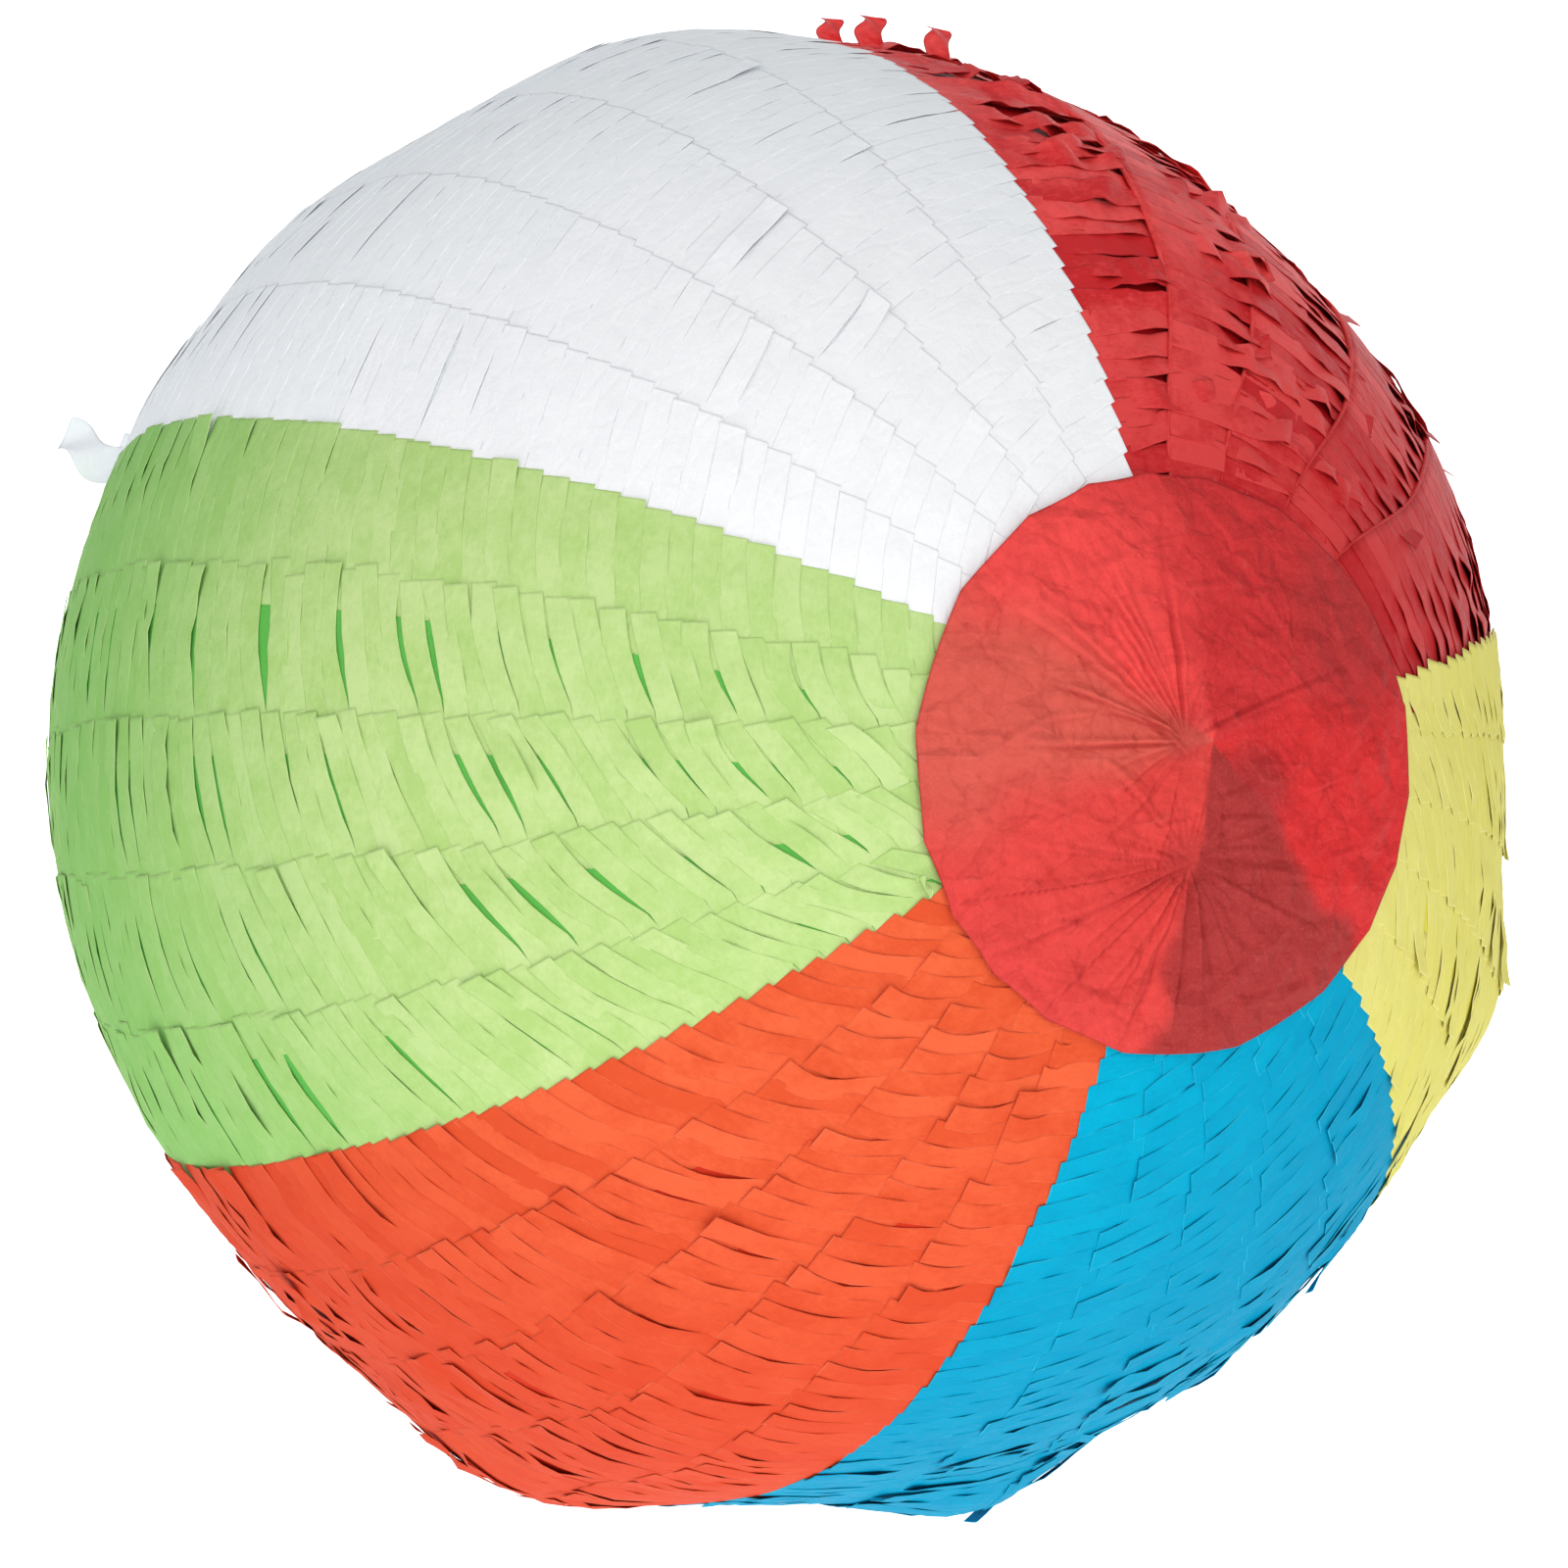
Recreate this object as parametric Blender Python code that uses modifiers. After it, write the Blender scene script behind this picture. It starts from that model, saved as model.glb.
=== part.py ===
"""Beach ball piñata: a hollow papier-mâché ball dressed in strips of fringed tissue paper.

The origin is the ball's centre and +Z is up, as it hangs. The two poles, where the six
coloured gores meet under tissue discs, lie on the Y axis. A place on the ball is given by
two angles: the colatitude, 0 at the -Y pole and 180 at the +Y pole, and the turn about
the Y axis, 0 at the top and growing towards +X.
"""

import math

import bmesh
import bpy
from mathutils import Matrix, Vector

# Driving dimensions, in metres and degrees
BALL_RADIUS = 0.165  # over the fringe
FRINGE_DEPTH = 0.003
SHELL_RADIUS = 0.161
SHELL_WALL = 0.003
STRIPS_PER_GORE = 5
GORES = (  # colour name and where the gore begins, as a turn about the Y axis
    ("red", -2.0),
    ("yellow", 76.5),
    ("blue", 132.0),
    ("orange", 187.5),
    ("green", 238.0),
    ("white", 296.0),
)
FRINGE_POLE_GAP = 15.0  # the strips stop this far short of each pole, under the disc
MERIDIAN_STEP = 7.5  # between the facets of a strip, along its length

FLAP_GORE = "red"
FLAP_STRIPS = (2, 3)  # the rows of fringe that the fill flap interrupts
FLAP_FROM, FLAP_TO = 97.5, 120.0  # colatitudes of the flap's two sides
CUT_GAP = 0.0005  # around each strip, and around the flap

CAP_RADIUS = 0.063  # along the paper
CAP_THICKNESS = 0.0005
CAP_CLEARANCE = 0.0008  # over the facets of the fringe
CAP_OFFSET = 3.0  # the hand-glued discs aren't quite central
NEAR_CAP_TURN, FAR_CAP_TURN = 120.0, 40.0  # which way each one is off centre

CARD_RADIUS = 0.025
CARD_THICKNESS = 0.0015
CARD_CLEARANCE = 0.001  # under the facets inside the shell
CORD_HOLE_RADIUS = 0.002
CORD_HOLE_SPACING = 0.014

TAPE_WIDTH = 0.024  # across the crease
TAPE_THICKNESS = 0.0003
TAPE_CLEARANCE = 0.0003

SHELL_SEGMENTS, SHELL_RINGS = 60, 24
CAP_STEPS, CAP_RINGS = 24, 4
CYLINDER_SIDES = 16

COLOURS = {
    "red": (0.60, 0.035, 0.045),
    "yellow": (0.77, 0.73, 0.20),
    "blue": (0.0, 0.44, 0.74),
    "orange": (0.90, 0.14, 0.045),
    "green": (0.57, 0.78, 0.25),
    "white": (0.86, 0.88, 0.90),
    "cap": (0.66, 0.04, 0.035),
    "papier_mache": (0.46, 0.39, 0.30),
    "card": (0.42, 0.30, 0.18),
    "tape": (0.52, 0.37, 0.21),
}
PAPER_ROUGHNESS = 0.85


def clear_scene():
    """Remove the objects that the file opens with."""
    for old in list(bpy.data.objects):
        bpy.data.objects.remove(old, do_unlink=True)


def new_collection(name):
    collection = bpy.data.collections.new(name)
    bpy.context.scene.collection.children.link(collection)
    return collection


def paper_material(name):
    """Plain matt paper in one of the named colours."""
    material = bpy.data.materials.new(name)
    material.use_nodes = True
    shader = material.node_tree.nodes["Principled BSDF"]
    shader.inputs["Base Color"].default_value = (*COLOURS[name], 1.0)
    shader.inputs["Roughness"].default_value = PAPER_ROUGHNESS
    shader.inputs["Metallic"].default_value = 0.0
    return material


def on_ball(colatitude, turn):
    """The unit vector from the ball's centre to a place on the ball."""
    across = math.sin(math.radians(colatitude))
    return Vector(
        (
            across * math.sin(math.radians(turn)),
            -math.cos(math.radians(colatitude)),
            across * math.cos(math.radians(turn)),
        )
    )


def gap_as_turn(gap, radius, colatitude):
    """A distance around the ball at this colatitude, as a turn about the Y axis in degrees."""
    return math.degrees(gap / (radius * math.sin(math.radians(colatitude))))


def panel_mesh(name, colatitudes, turns, radii, gap=0.0):
    """A closed piece of the ball's wall between two colatitudes, two turns and two radii.

    A flat grid is bent onto the ball, and then thickened straight out from the centre,
    so that the edges of neighbouring pieces stay parallel. Each edge is drawn in by half
    the gap, or let out where the gap is negative.
    """
    margin = math.degrees(gap / 2 / radii[0])
    first, last = colatitudes[0] + margin, colatitudes[1] - margin
    rows = max(1, round((colatitudes[1] - colatitudes[0]) / MERIDIAN_STEP))
    columns = max(2, round((turns[1] - turns[0]) / MERIDIAN_STEP))
    mesh = bmesh.new()
    bmesh.ops.create_grid(mesh, x_segments=rows, y_segments=columns, size=0.5)
    for vertex in mesh.verts:
        colatitude = first + (vertex.co.x + 0.5) * (last - first)
        inset = gap_as_turn(gap / 2, radii[0], colatitude)
        span = turns[1] - turns[0] - 2 * inset
        turn = turns[0] + inset + (vertex.co.y + 0.5) * span
        vertex.co = on_ball(colatitude, turn) * radii[0]
    thick = bmesh.ops.extrude_face_region(mesh, geom=mesh.faces[:])
    for element in thick["geom"]:
        if isinstance(element, bmesh.types.BMVert):
            element.co *= radii[1] / radii[0]
    bmesh.ops.recalc_face_normals(mesh, faces=mesh.faces[:])
    data = bpy.data.meshes.new(name)
    mesh.to_mesh(data)
    mesh.free()
    return data


def add_part(collection, name, data, material):
    """Put a mesh or curve in the collection as a named piece with its material."""
    part = bpy.data.objects.new(name, data)
    data.materials.append(bpy.data.materials[material])
    collection.objects.link(part)
    return part


def shade_round(part):
    part.data.shade_smooth()
    part.data.set_sharp_from_angle(angle=math.radians(40))


def add_cutter(collection, name, data):
    """A shape that only cuts others."""
    cutter = bpy.data.objects.new(name, data)
    collection.objects.link(cutter)
    cutter.hide_render = True
    cutter.display_type = "WIRE"
    return cutter


def cut(part, cutter):
    modifier = part.modifiers.new(cutter.name, "BOOLEAN")
    modifier.operation = "DIFFERENCE"
    modifier.solver = "EXACT"
    modifier.object = cutter


def gore_range(colour):
    """Where a gore begins and ends, as turns about the Y axis."""
    starts = [start for _, start in GORES]
    index = [name for name, _ in GORES].index(colour)
    following = starts[index + 1] if index + 1 < len(starts) else starts[0] + 360.0
    return starts[index], following


def strip_range(colour, number):
    """Where one strip of a gore begins and ends. Strips count from 1."""
    start, end = gore_range(colour)
    width = (end - start) / STRIPS_PER_GORE
    return start + (number - 1) * width, start + number * width


def flap_turns():
    return strip_range(FLAP_GORE, FLAP_STRIPS[0])[0], strip_range(FLAP_GORE, FLAP_STRIPS[-1])[1]


def add_shell(collection, cutters, hole_cutters):
    """The hollow papier-mâché ball, with the flap's opening and the cord holes cut in it."""
    mesh = bmesh.new()
    bmesh.ops.create_uvsphere(
        mesh, u_segments=SHELL_SEGMENTS, v_segments=SHELL_RINGS, radius=SHELL_RADIUS
    )
    bmesh.ops.rotate(mesh, verts=mesh.verts[:], matrix=Matrix.Rotation(math.pi / 2, 3, "X"))
    data = bpy.data.meshes.new("paper_shell")
    mesh.to_mesh(data)
    mesh.free()
    shell = add_part(collection, "paper_shell", data, "papier_mache")
    wall = shell.modifiers.new("wall", "SOLIDIFY")
    wall.thickness = SHELL_WALL
    wall.offset = -1.0
    wall.use_even_offset = True
    through = (SHELL_RADIUS - 3 * SHELL_WALL, SHELL_RADIUS + 3 * SHELL_WALL)
    opening = panel_mesh("flap_opening", (FLAP_FROM, FLAP_TO), flap_turns(), through, -CUT_GAP)
    cut(shell, add_cutter(cutters, "flap_opening", opening))
    for cutter in hole_cutters:
        cut(shell, cutter)
    shade_round(shell)


def add_cord_holes(cutters):
    """The two upright holes that the hanging cord passes through, side by side along Y."""
    holes = []
    for name, side in (("near_cord_hole", -1), ("far_cord_hole", 1)):
        mesh = bmesh.new()
        bmesh.ops.create_cone(
            mesh,
            cap_ends=True,
            segments=CYLINDER_SIDES,
            radius1=CORD_HOLE_RADIUS,
            radius2=CORD_HOLE_RADIUS,
            depth=BALL_RADIUS / 3,
        )
        data = bpy.data.meshes.new(name)
        mesh.to_mesh(data)
        mesh.free()
        hole = add_cutter(cutters, name, data)
        hole.location = (0.0, side * CORD_HOLE_SPACING / 2, SHELL_RADIUS)
        holes.append(hole)
    return holes


def flap_hinge():
    """The middle of the crease, at the fringe's surface, and the direction of its axis.

    A positive turn about the axis lifts the flap off the ball.
    """
    middle = math.radians((FLAP_FROM + FLAP_TO) / 2)
    turn = math.radians(flap_turns()[1])
    along = (
        math.cos(middle) * math.sin(turn),
        math.sin(middle),
        math.cos(middle) * math.cos(turn),
    )
    return on_ball((FLAP_FROM + FLAP_TO) / 2, flap_turns()[1]) * BALL_RADIUS, Vector(along)


def add_hinge_frame(collection):
    """An empty on the flap's crease, with its X axis along it, that the moving pieces hang from."""
    place, along = flap_hinge()
    outward = place.normalized()
    frame = Matrix((along, outward.cross(along), outward)).transposed().to_4x4()
    hinge = bpy.data.objects.new("flap_hinge", None)
    hinge.matrix_world = Matrix.Translation(place) @ frame
    collection.objects.link(hinge)
    return hinge


def hang_from(part, hinge):
    """Parent a piece to the hinge without moving it."""
    part.parent = hinge
    part.matrix_parent_inverse = hinge.matrix_world.inverted()


def add_flap(collection, hinge):
    """The piece of the shell that opens."""
    wall = (SHELL_RADIUS - SHELL_WALL, SHELL_RADIUS)
    data = panel_mesh("fill_flap", (FLAP_FROM, FLAP_TO), flap_turns(), wall, CUT_GAP)
    flap = add_part(collection, "fill_flap", data, "papier_mache")
    shade_round(flap)
    hang_from(flap, hinge)


def add_hinge_tape(collection, hinge):
    """The paper tape glued over the crease, in two halves that meet there."""
    crease = flap_turns()[1]
    middle = (FLAP_FROM + FLAP_TO) / 2
    half_width = gap_as_turn(TAPE_WIDTH / 2, SHELL_RADIUS, middle)
    under = SHELL_RADIUS + TAPE_CLEARANCE
    layer = (under, under + TAPE_THICKNESS)
    ends = (FLAP_FROM, FLAP_TO)
    halves = (
        ("hinge_tape_on_shell", (crease, crease + half_width)),
        ("hinge_tape_on_flap", (crease - half_width, crease)),
    )
    for name, turns in halves:
        tape = add_part(collection, name, panel_mesh(name, ends, turns, layer, CUT_GAP), "tape")
        shade_round(tape)
        if name.endswith("flap"):
            hang_from(tape, hinge)


def add_strip(collection, name, colour, colatitudes, number):
    """One length of fringe, as the space that its base band and its teeth fill."""
    layer = (BALL_RADIUS - FRINGE_DEPTH, BALL_RADIUS)
    data = panel_mesh(name, colatitudes, strip_range(colour, number), layer, CUT_GAP)
    strip = add_part(collection, name, data, colour)
    shade_round(strip)
    return strip


def add_fringe(collection, hinge, hole_cutters):
    """The strips of all six gores. The flap carries its own length of the strips it cuts."""
    ends = (FRINGE_POLE_GAP, 180.0 - FRINGE_POLE_GAP)
    for colour, _ in GORES:
        for number in range(1, STRIPS_PER_GORE + 1):
            name = f"{colour}_fringe_{number}"
            if colour == FLAP_GORE and number in FLAP_STRIPS:
                add_strip(collection, name + "_near", colour, (ends[0], FLAP_FROM), number)
                add_strip(collection, name + "_far", colour, (FLAP_TO, ends[1]), number)
                flap_name = f"flap_fringe_{number - FLAP_STRIPS[0] + 1}"
                on_flap = add_strip(
                    collection, flap_name, colour, (FLAP_FROM, FLAP_TO), number
                )
                hang_from(on_flap, hinge)
            else:
                strip = add_strip(collection, name, colour, ends, number)
                if name == "red_fringe_1":
                    for cutter in hole_cutters:
                        cut(strip, cutter)


def add_dome(collection, name, radii, width, material, direction):
    """A round patch of the ball's curve, such as a paper disc, centred on a direction."""
    limit = width / radii[1]
    angles = [limit * ring / CAP_RINGS for ring in range(CAP_RINGS + 1)]
    outer = [(radii[1] * math.sin(a), 0.0, radii[1] * math.cos(a)) for a in angles]
    inner = [(radii[0] * math.sin(a), 0.0, radii[0] * math.cos(a)) for a in reversed(angles)]
    data = bpy.data.meshes.new(name)
    profile = outer + inner
    data.from_pydata(profile, [(i, i + 1) for i in range(len(profile) - 1)], [])
    dome = add_part(collection, name, data, material)
    turned = dome.modifiers.new("turned", "SCREW")
    turned.steps = CAP_STEPS
    turned.render_steps = CAP_STEPS
    turned.use_merge_vertices = True
    turned.merge_threshold = 0.00001
    turned.use_smooth_shade = True
    dome.rotation_mode = "QUATERNION"
    dome.rotation_quaternion = direction.to_track_quat("Z", "Y")
    return dome


def add_caps(collection):
    """The tissue discs glued over the two poles, which hide the ends of the strips."""
    under = BALL_RADIUS + CAP_CLEARANCE
    layer = (under, under + CAP_THICKNESS)
    caps = (
        ("near_cap_disc", CAP_OFFSET, NEAR_CAP_TURN),
        ("far_cap_disc", 180.0 - CAP_OFFSET, FAR_CAP_TURN),
    )
    for name, colatitude, turn in caps:
        add_dome(collection, name, layer, CAP_RADIUS, "cap", on_ball(colatitude, turn))


def add_hanger_card(collection, hole_cutters):
    """The card glued inside the top, which spreads the cord's pull over the shell."""
    outer = SHELL_RADIUS - SHELL_WALL - CARD_CLEARANCE
    layer = (outer - CARD_THICKNESS, outer)
    card = add_dome(collection, "hanger_card", layer, CARD_RADIUS, "card", Vector((0, 0, 1)))
    for cutter in hole_cutters:
        cut(card, cutter)


def build():
    clear_scene()
    for name in COLOURS:
        paper_material(name)
    ball = new_collection("beach_ball_pinata")
    cutters = new_collection("cutters")
    cord_holes = add_cord_holes(cutters)
    hinge = add_hinge_frame(ball)
    add_shell(ball, cutters, cord_holes)
    add_flap(ball, hinge)
    add_hinge_tape(ball, hinge)
    add_fringe(ball, hinge, cord_holes)
    add_caps(ball)
    add_hanger_card(ball, cord_holes)
    bpy.context.view_layer.update()


build()
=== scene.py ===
"""Beach ball piñata: the paper surfaces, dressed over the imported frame.

Places on the ball are given as in the frame: the colatitude is 0 at the -Y pole and 180
at the +Y pole, and the turn about the Y axis is 0 at the top and grows towards +X. Every
tooth of the fringe is its own ribbon of paper, cut from its strip's uncut base band. A
ribbon is worked out in its strip's own terms: the distance from the base line, the
distance across the tooth, and the height over the bed that the fringe lies on.
"""

import math
from dataclasses import dataclass, replace

import bpy
import numpy as np
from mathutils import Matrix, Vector


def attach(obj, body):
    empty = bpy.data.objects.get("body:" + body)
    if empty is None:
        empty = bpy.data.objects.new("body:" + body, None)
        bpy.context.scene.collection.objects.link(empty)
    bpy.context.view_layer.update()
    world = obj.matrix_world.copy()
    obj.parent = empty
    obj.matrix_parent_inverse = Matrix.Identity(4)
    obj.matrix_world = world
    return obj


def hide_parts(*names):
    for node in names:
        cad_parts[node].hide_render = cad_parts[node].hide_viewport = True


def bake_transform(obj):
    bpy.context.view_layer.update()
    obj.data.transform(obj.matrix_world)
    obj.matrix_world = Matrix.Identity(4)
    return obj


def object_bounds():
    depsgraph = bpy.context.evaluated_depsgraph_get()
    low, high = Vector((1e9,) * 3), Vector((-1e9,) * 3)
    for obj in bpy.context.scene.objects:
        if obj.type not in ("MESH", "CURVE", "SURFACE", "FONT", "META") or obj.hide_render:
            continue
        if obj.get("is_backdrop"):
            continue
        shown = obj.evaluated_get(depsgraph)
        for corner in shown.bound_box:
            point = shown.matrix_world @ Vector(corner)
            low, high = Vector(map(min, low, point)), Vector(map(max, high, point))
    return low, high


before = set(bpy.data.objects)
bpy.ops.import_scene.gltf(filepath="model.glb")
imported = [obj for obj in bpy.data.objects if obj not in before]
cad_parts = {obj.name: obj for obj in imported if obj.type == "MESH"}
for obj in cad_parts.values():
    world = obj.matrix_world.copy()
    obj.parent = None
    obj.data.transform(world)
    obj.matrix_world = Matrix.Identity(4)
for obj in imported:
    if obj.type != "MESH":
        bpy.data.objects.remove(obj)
CAD_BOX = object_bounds()
MM = 0.001


# ---------------------------------------------------------------- sizes read off the frame

def points_of(node):
    """The vertices of a CAD node, as an array."""
    return np.array([vertex.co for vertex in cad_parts[node].data.vertices])


def reach(node, furthest=True):
    """How far a CAD node's vertices lie from the ball's centre."""
    distances = np.linalg.norm(points_of(node), axis=1)
    return float(distances.max() if furthest else distances.min())


def span(node):
    """First and last colatitude, and first and last turn, of a CAD node, in degrees."""
    points = points_of(node)
    colatitudes = np.degrees(np.arccos(-points[:, 1] / np.linalg.norm(points, axis=1)))
    middle = points.mean(axis=0)
    centre = math.degrees(math.atan2(middle[0], middle[2]))
    turns = np.degrees(np.arctan2(points[:, 0], points[:, 2]))
    aside = (turns - centre + 180) % 360 - 180
    return colatitudes.min(), colatitudes.max(), centre + aside.min(), centre + aside.max()


SHELL_RADIUS = reach("paper_shell")
SHELL_WALL = SHELL_RADIUS - reach("fill_flap", furthest=False)
BALL_RADIUS = reach("green_fringe_3")
BED_RADIUS = reach("green_fringe_3", furthest=False)  # what the fringe lies on
FLAP = span("fill_flap")
FLAP_GAP = 0.25 * MM  # kept round each of the two parts of a cut
CREASE_TURN = FLAP[3]

STRIPS_PER_GORE = 5
TOOTH_WIDTH = 5.6 * MM
PAPER_THICKNESS = 0.16 * MM
MM_PER_DEGREE = 2.8  # round the shell, for places on the flat paper
OVERLAP = 9.5 * MM  # of one row of fringe over the next
CORD_HOLE_RADIUS = 2.0 * MM
CORD_SPACING = 14.0 * MM
UNDERNEATH = -3.0  # tone of the sheet under the slits, which takes the painted shading colour in full
PAINTED_SHADING_ORIGIN = (30.0, 276.0)  # colatitude and turn of the place where the painted shading is least
RED_PAINTED_SHADING_ORIGIN = (76.0, 1.0)  # and the same for the red paper
PAINTED_SHADING_RAMP = (25.0, 70.0)  # degrees from that place: no painted shading, and full painted shading
SEED = 20


# ---------------------------------------------------------------- places on the ball

def on_ball(colatitude, turn):
    """Unit vectors from the centre to places given in degrees, as arrays of any shape."""
    colatitude, turn = np.radians(colatitude), np.radians(turn)
    across = np.sin(colatitude)
    parts = (across * np.sin(turn), -np.cos(colatitude), across * np.cos(turn))
    return np.stack(np.broadcast_arrays(*parts), axis=-1)


def smoothstep(value, low, high):
    """0 below low, 1 above high, and a smooth ramp between them."""
    ramp = np.clip((value - low) / (high - low), 0.0, 1.0)
    return ramp * ramp * (3 - 2 * ramp)


def angle_between(directions, axis):
    """Angles in degrees between unit vectors and one axis."""
    return np.degrees(np.arccos(np.clip(directions @ axis, -1.0, 1.0)))


CAMERA_AZIMUTH, CAMERA_ELEVATION = -28.1, -2.6
CAMERA_DISTANCE = 1.155
CAMERA_LENS = 117.0


def camera_axes():
    """Unit vectors to the right, upwards and back from the camera."""
    azimuth, elevation = math.radians(CAMERA_AZIMUTH), math.radians(CAMERA_ELEVATION)
    right = np.array((math.cos(azimuth), math.sin(azimuth), 0.0))
    level = math.cos(elevation)
    back = np.array((math.sin(azimuth) * level, -math.cos(azimuth) * level, math.sin(elevation)))
    return right, np.cross(back, right), back


LUMPS = (  # on the outline: degrees from the right, height, half-width in degrees
    (18.0, -3.5 * MM, 9.0),
    (44.0, -3.5 * MM, 18.0),
    (100.0, 5.5 * MM, 13.0),
    (131.0, 4.0 * MM, 10.0),
    (149.0, 3.0 * MM, 6.0),
    (211.0, -9.0 * MM, 11.0),
    (250.0, 9.5 * MM, 11.0),
    (285.0, 9.0 * MM, 8.0),
    (306.0, 2.5 * MM, 7.0),
    (342.0, 6.5 * MM, 8.0),
    (354.0, -2.0 * MM, 6.0),
)
WAVINESS = 0.7 * MM  # of a shell laid up by hand
WAVE_SPACING = 9.0  # as a factor on the unit sphere
ROUND_BY_FLAP = (22.0, 42.0)  # degrees from the flap's middle: truly round, and fully lumpy


def waves(directions, spacing, seed, count=10):
    """Smooth bumps between about -1 and 1 over the ball: plane waves in random directions."""
    rng = np.random.default_rng(seed)
    total = np.zeros(directions.shape[:-1])
    for _ in range(count):
        axis = rng.normal(size=3)
        axis *= spacing * rng.uniform(0.6, 1.4) / np.linalg.norm(axis)
        total += np.sin(directions @ axis + rng.uniform(0, 2 * math.pi))
    return total / math.sqrt(count)


def swell(directions):
    """How far out of round the ball is, as a factor on its radius. It is round by the flap."""
    right, up, _ = camera_axes()
    height = WAVINESS * waves(directions, WAVE_SPACING, SEED)
    for degrees, size, half_width in LUMPS:
        place = math.cos(math.radians(degrees)) * right + math.sin(math.radians(degrees)) * up
        height = height + size * np.exp(-((angle_between(directions, place) / half_width) ** 2))
    flap_centre = on_ball((FLAP[0] + FLAP[1]) / 2, (FLAP[2] + FLAP[3]) / 2)
    height = height * smoothstep(angle_between(directions, flap_centre), *ROUND_BY_FLAP)
    return 1.0 + height / BALL_RADIUS


# ---------------------------------------------------------------- mesh helpers

def linear(red, green, blue):
    """A colour given as 0 to 255 screen values, as linear light."""
    values = np.array((red, green, blue)) / 255.0
    low, high = values / 12.92, ((values + 0.055) / 1.055) ** 2.4
    return (*np.where(values <= 0.04045, low, high).tolist(), 1.0)


def grid_faces(rows, columns, first=0):
    """Quads of a grid of points that is stored row by row, from point number first."""
    row, column = np.meshgrid(np.arange(rows - 1), np.arange(columns - 1), indexing="ij")
    corner = (first + row * columns + column).ravel()
    return np.stack((corner, corner + 1, corner + columns + 1, corner + columns), axis=1)


def make_piece(name, points, faces, material):
    """A smooth-shaded mesh object with its material and its material slot's name."""
    mesh = bpy.data.meshes.new(name)
    mesh.from_pydata(points.tolist(), [], faces.tolist() if hasattr(faces, "tolist") else faces)
    mesh.materials.append(material)
    mesh.shade_smooth()
    piece = bpy.data.objects.new(name, mesh)
    bpy.context.scene.collection.objects.link(piece)
    return piece


def store(piece, name, values, kind="FLOAT"):
    """Keep a number, vector or colour for each point of a mesh, for its material to read."""
    attribute = piece.data.attributes.new(name, kind, "POINT")
    field = {"FLOAT": "value", "FLOAT_VECTOR": "vector", "FLOAT_COLOR": "color"}[kind]
    attribute.data.foreach_set(field, np.asarray(values, dtype=np.float32).ravel())


def thicken(piece, thickness, offset=0.0):
    """Give a sheet of paper or card its thickness."""
    solid = piece.modifiers.new("thickness", "SOLIDIFY")
    solid.thickness = thickness
    solid.offset = offset
    solid.use_even_offset = False


# ---------------------------------------------------------------- material helpers

def new_material(name):
    material = bpy.data.materials.new(name)
    material.use_nodes = True
    return material, material.node_tree, material.node_tree.nodes["Principled BSDF"]


def set_inputs(tree, node, inputs):
    """Set a node's inputs, by name or number, each to a plain value or from a socket."""
    for key, value in inputs.items():
        if isinstance(value, bpy.types.NodeSocket):
            tree.links.new(value, node.inputs[key])
        else:
            node.inputs[key].default_value = value


def add_node(tree, kind, inputs, **settings):
    """A shader node with its settings and its inputs."""
    node = tree.nodes.new("ShaderNode" + kind)
    for name, value in settings.items():
        setattr(node, name, value)
    set_inputs(tree, node, inputs)
    return node


def read(tree, name, output="Fac"):
    """A number, vector or colour that the mesh carries."""
    return add_node(tree, "Attribute", {}, attribute_name=name).outputs[output]


def stretched(tree, coordinates, stretch):
    """Coordinates with each axis scaled."""
    return add_node(tree, "Mapping", {"Vector": coordinates, "Scale": stretch}).outputs["Vector"]


def noise(tree, coordinates, scale, detail=3.0, roughness=0.5, stretch=(1.0, 1.0, 1.0)):
    """Soft noise from 0 to 1. The scale counts features to a unit of the coordinates."""
    inputs = {"Vector": stretched(tree, coordinates, stretch), "Scale": scale}
    inputs |= {"Detail": detail, "Roughness": roughness}
    return add_node(tree, "TexNoise", inputs).outputs["Fac"]


def creases(tree, coordinates, scale, stretch=(1.0, 1.0, 1.0)):
    """Thin ridges where crumpled paper has folded: 0 on a crease and 1 away from it."""
    return ramp(tree, facets(tree, stretched(tree, coordinates, stretch), scale), 0.0, 0.12, 0.0, 1.0)


def facets(tree, coordinates, scale):
    """Flat facets with straight creases between them, as heights from 0 at the creases."""
    inputs = {"Vector": coordinates, "Scale": scale}
    return add_node(tree, "TexVoronoi", inputs, feature="DISTANCE_TO_EDGE").outputs["Distance"]


def ridges(tree, coordinates, scale):
    """Sharp ridges of crumpled paper, about 0 to 1 high, that run on over many scales."""
    inputs = {"Vector": coordinates, "Scale": scale, "Detail": 3.0, "Roughness": 0.45}
    inputs |= {"Offset": 0.9, "Gain": 1.2}
    node = add_node(tree, "TexNoise", inputs, noise_type="RIDGED_MULTIFRACTAL")
    return ramp(tree, node.outputs["Fac"], 0.3, 1.6, 0.0, 1.0)


def ramp(tree, value, from_low, from_high, to_low, to_high):
    """A number carried from one range to another, and held at its ends."""
    inputs = dict(enumerate((value, from_low, from_high, to_low, to_high)))
    return add_node(tree, "MapRange", inputs).outputs["Result"]


def sum_of(tree, first, second, factor=1.0):
    """first + factor x second."""
    inputs = {0: second, 1: factor, 2: first}
    return add_node(tree, "Math", inputs, operation="MULTIPLY_ADD").outputs[0]


def mix(tree, factor, first, second):
    """Two colours mixed by a factor. Each of the three is a socket or a plain value."""
    inputs = {0: factor, 6: first, 7: second}
    return add_node(tree, "Mix", inputs, data_type="RGBA").outputs[2]


def tinted(tree, colour, tint, pattern, low, high, most):
    """A colour mixed with a tint, the more so as a pattern rises from low to high."""
    return mix(tree, ramp(tree, pattern, low, high, 0.0, most), colour, tint)


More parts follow.
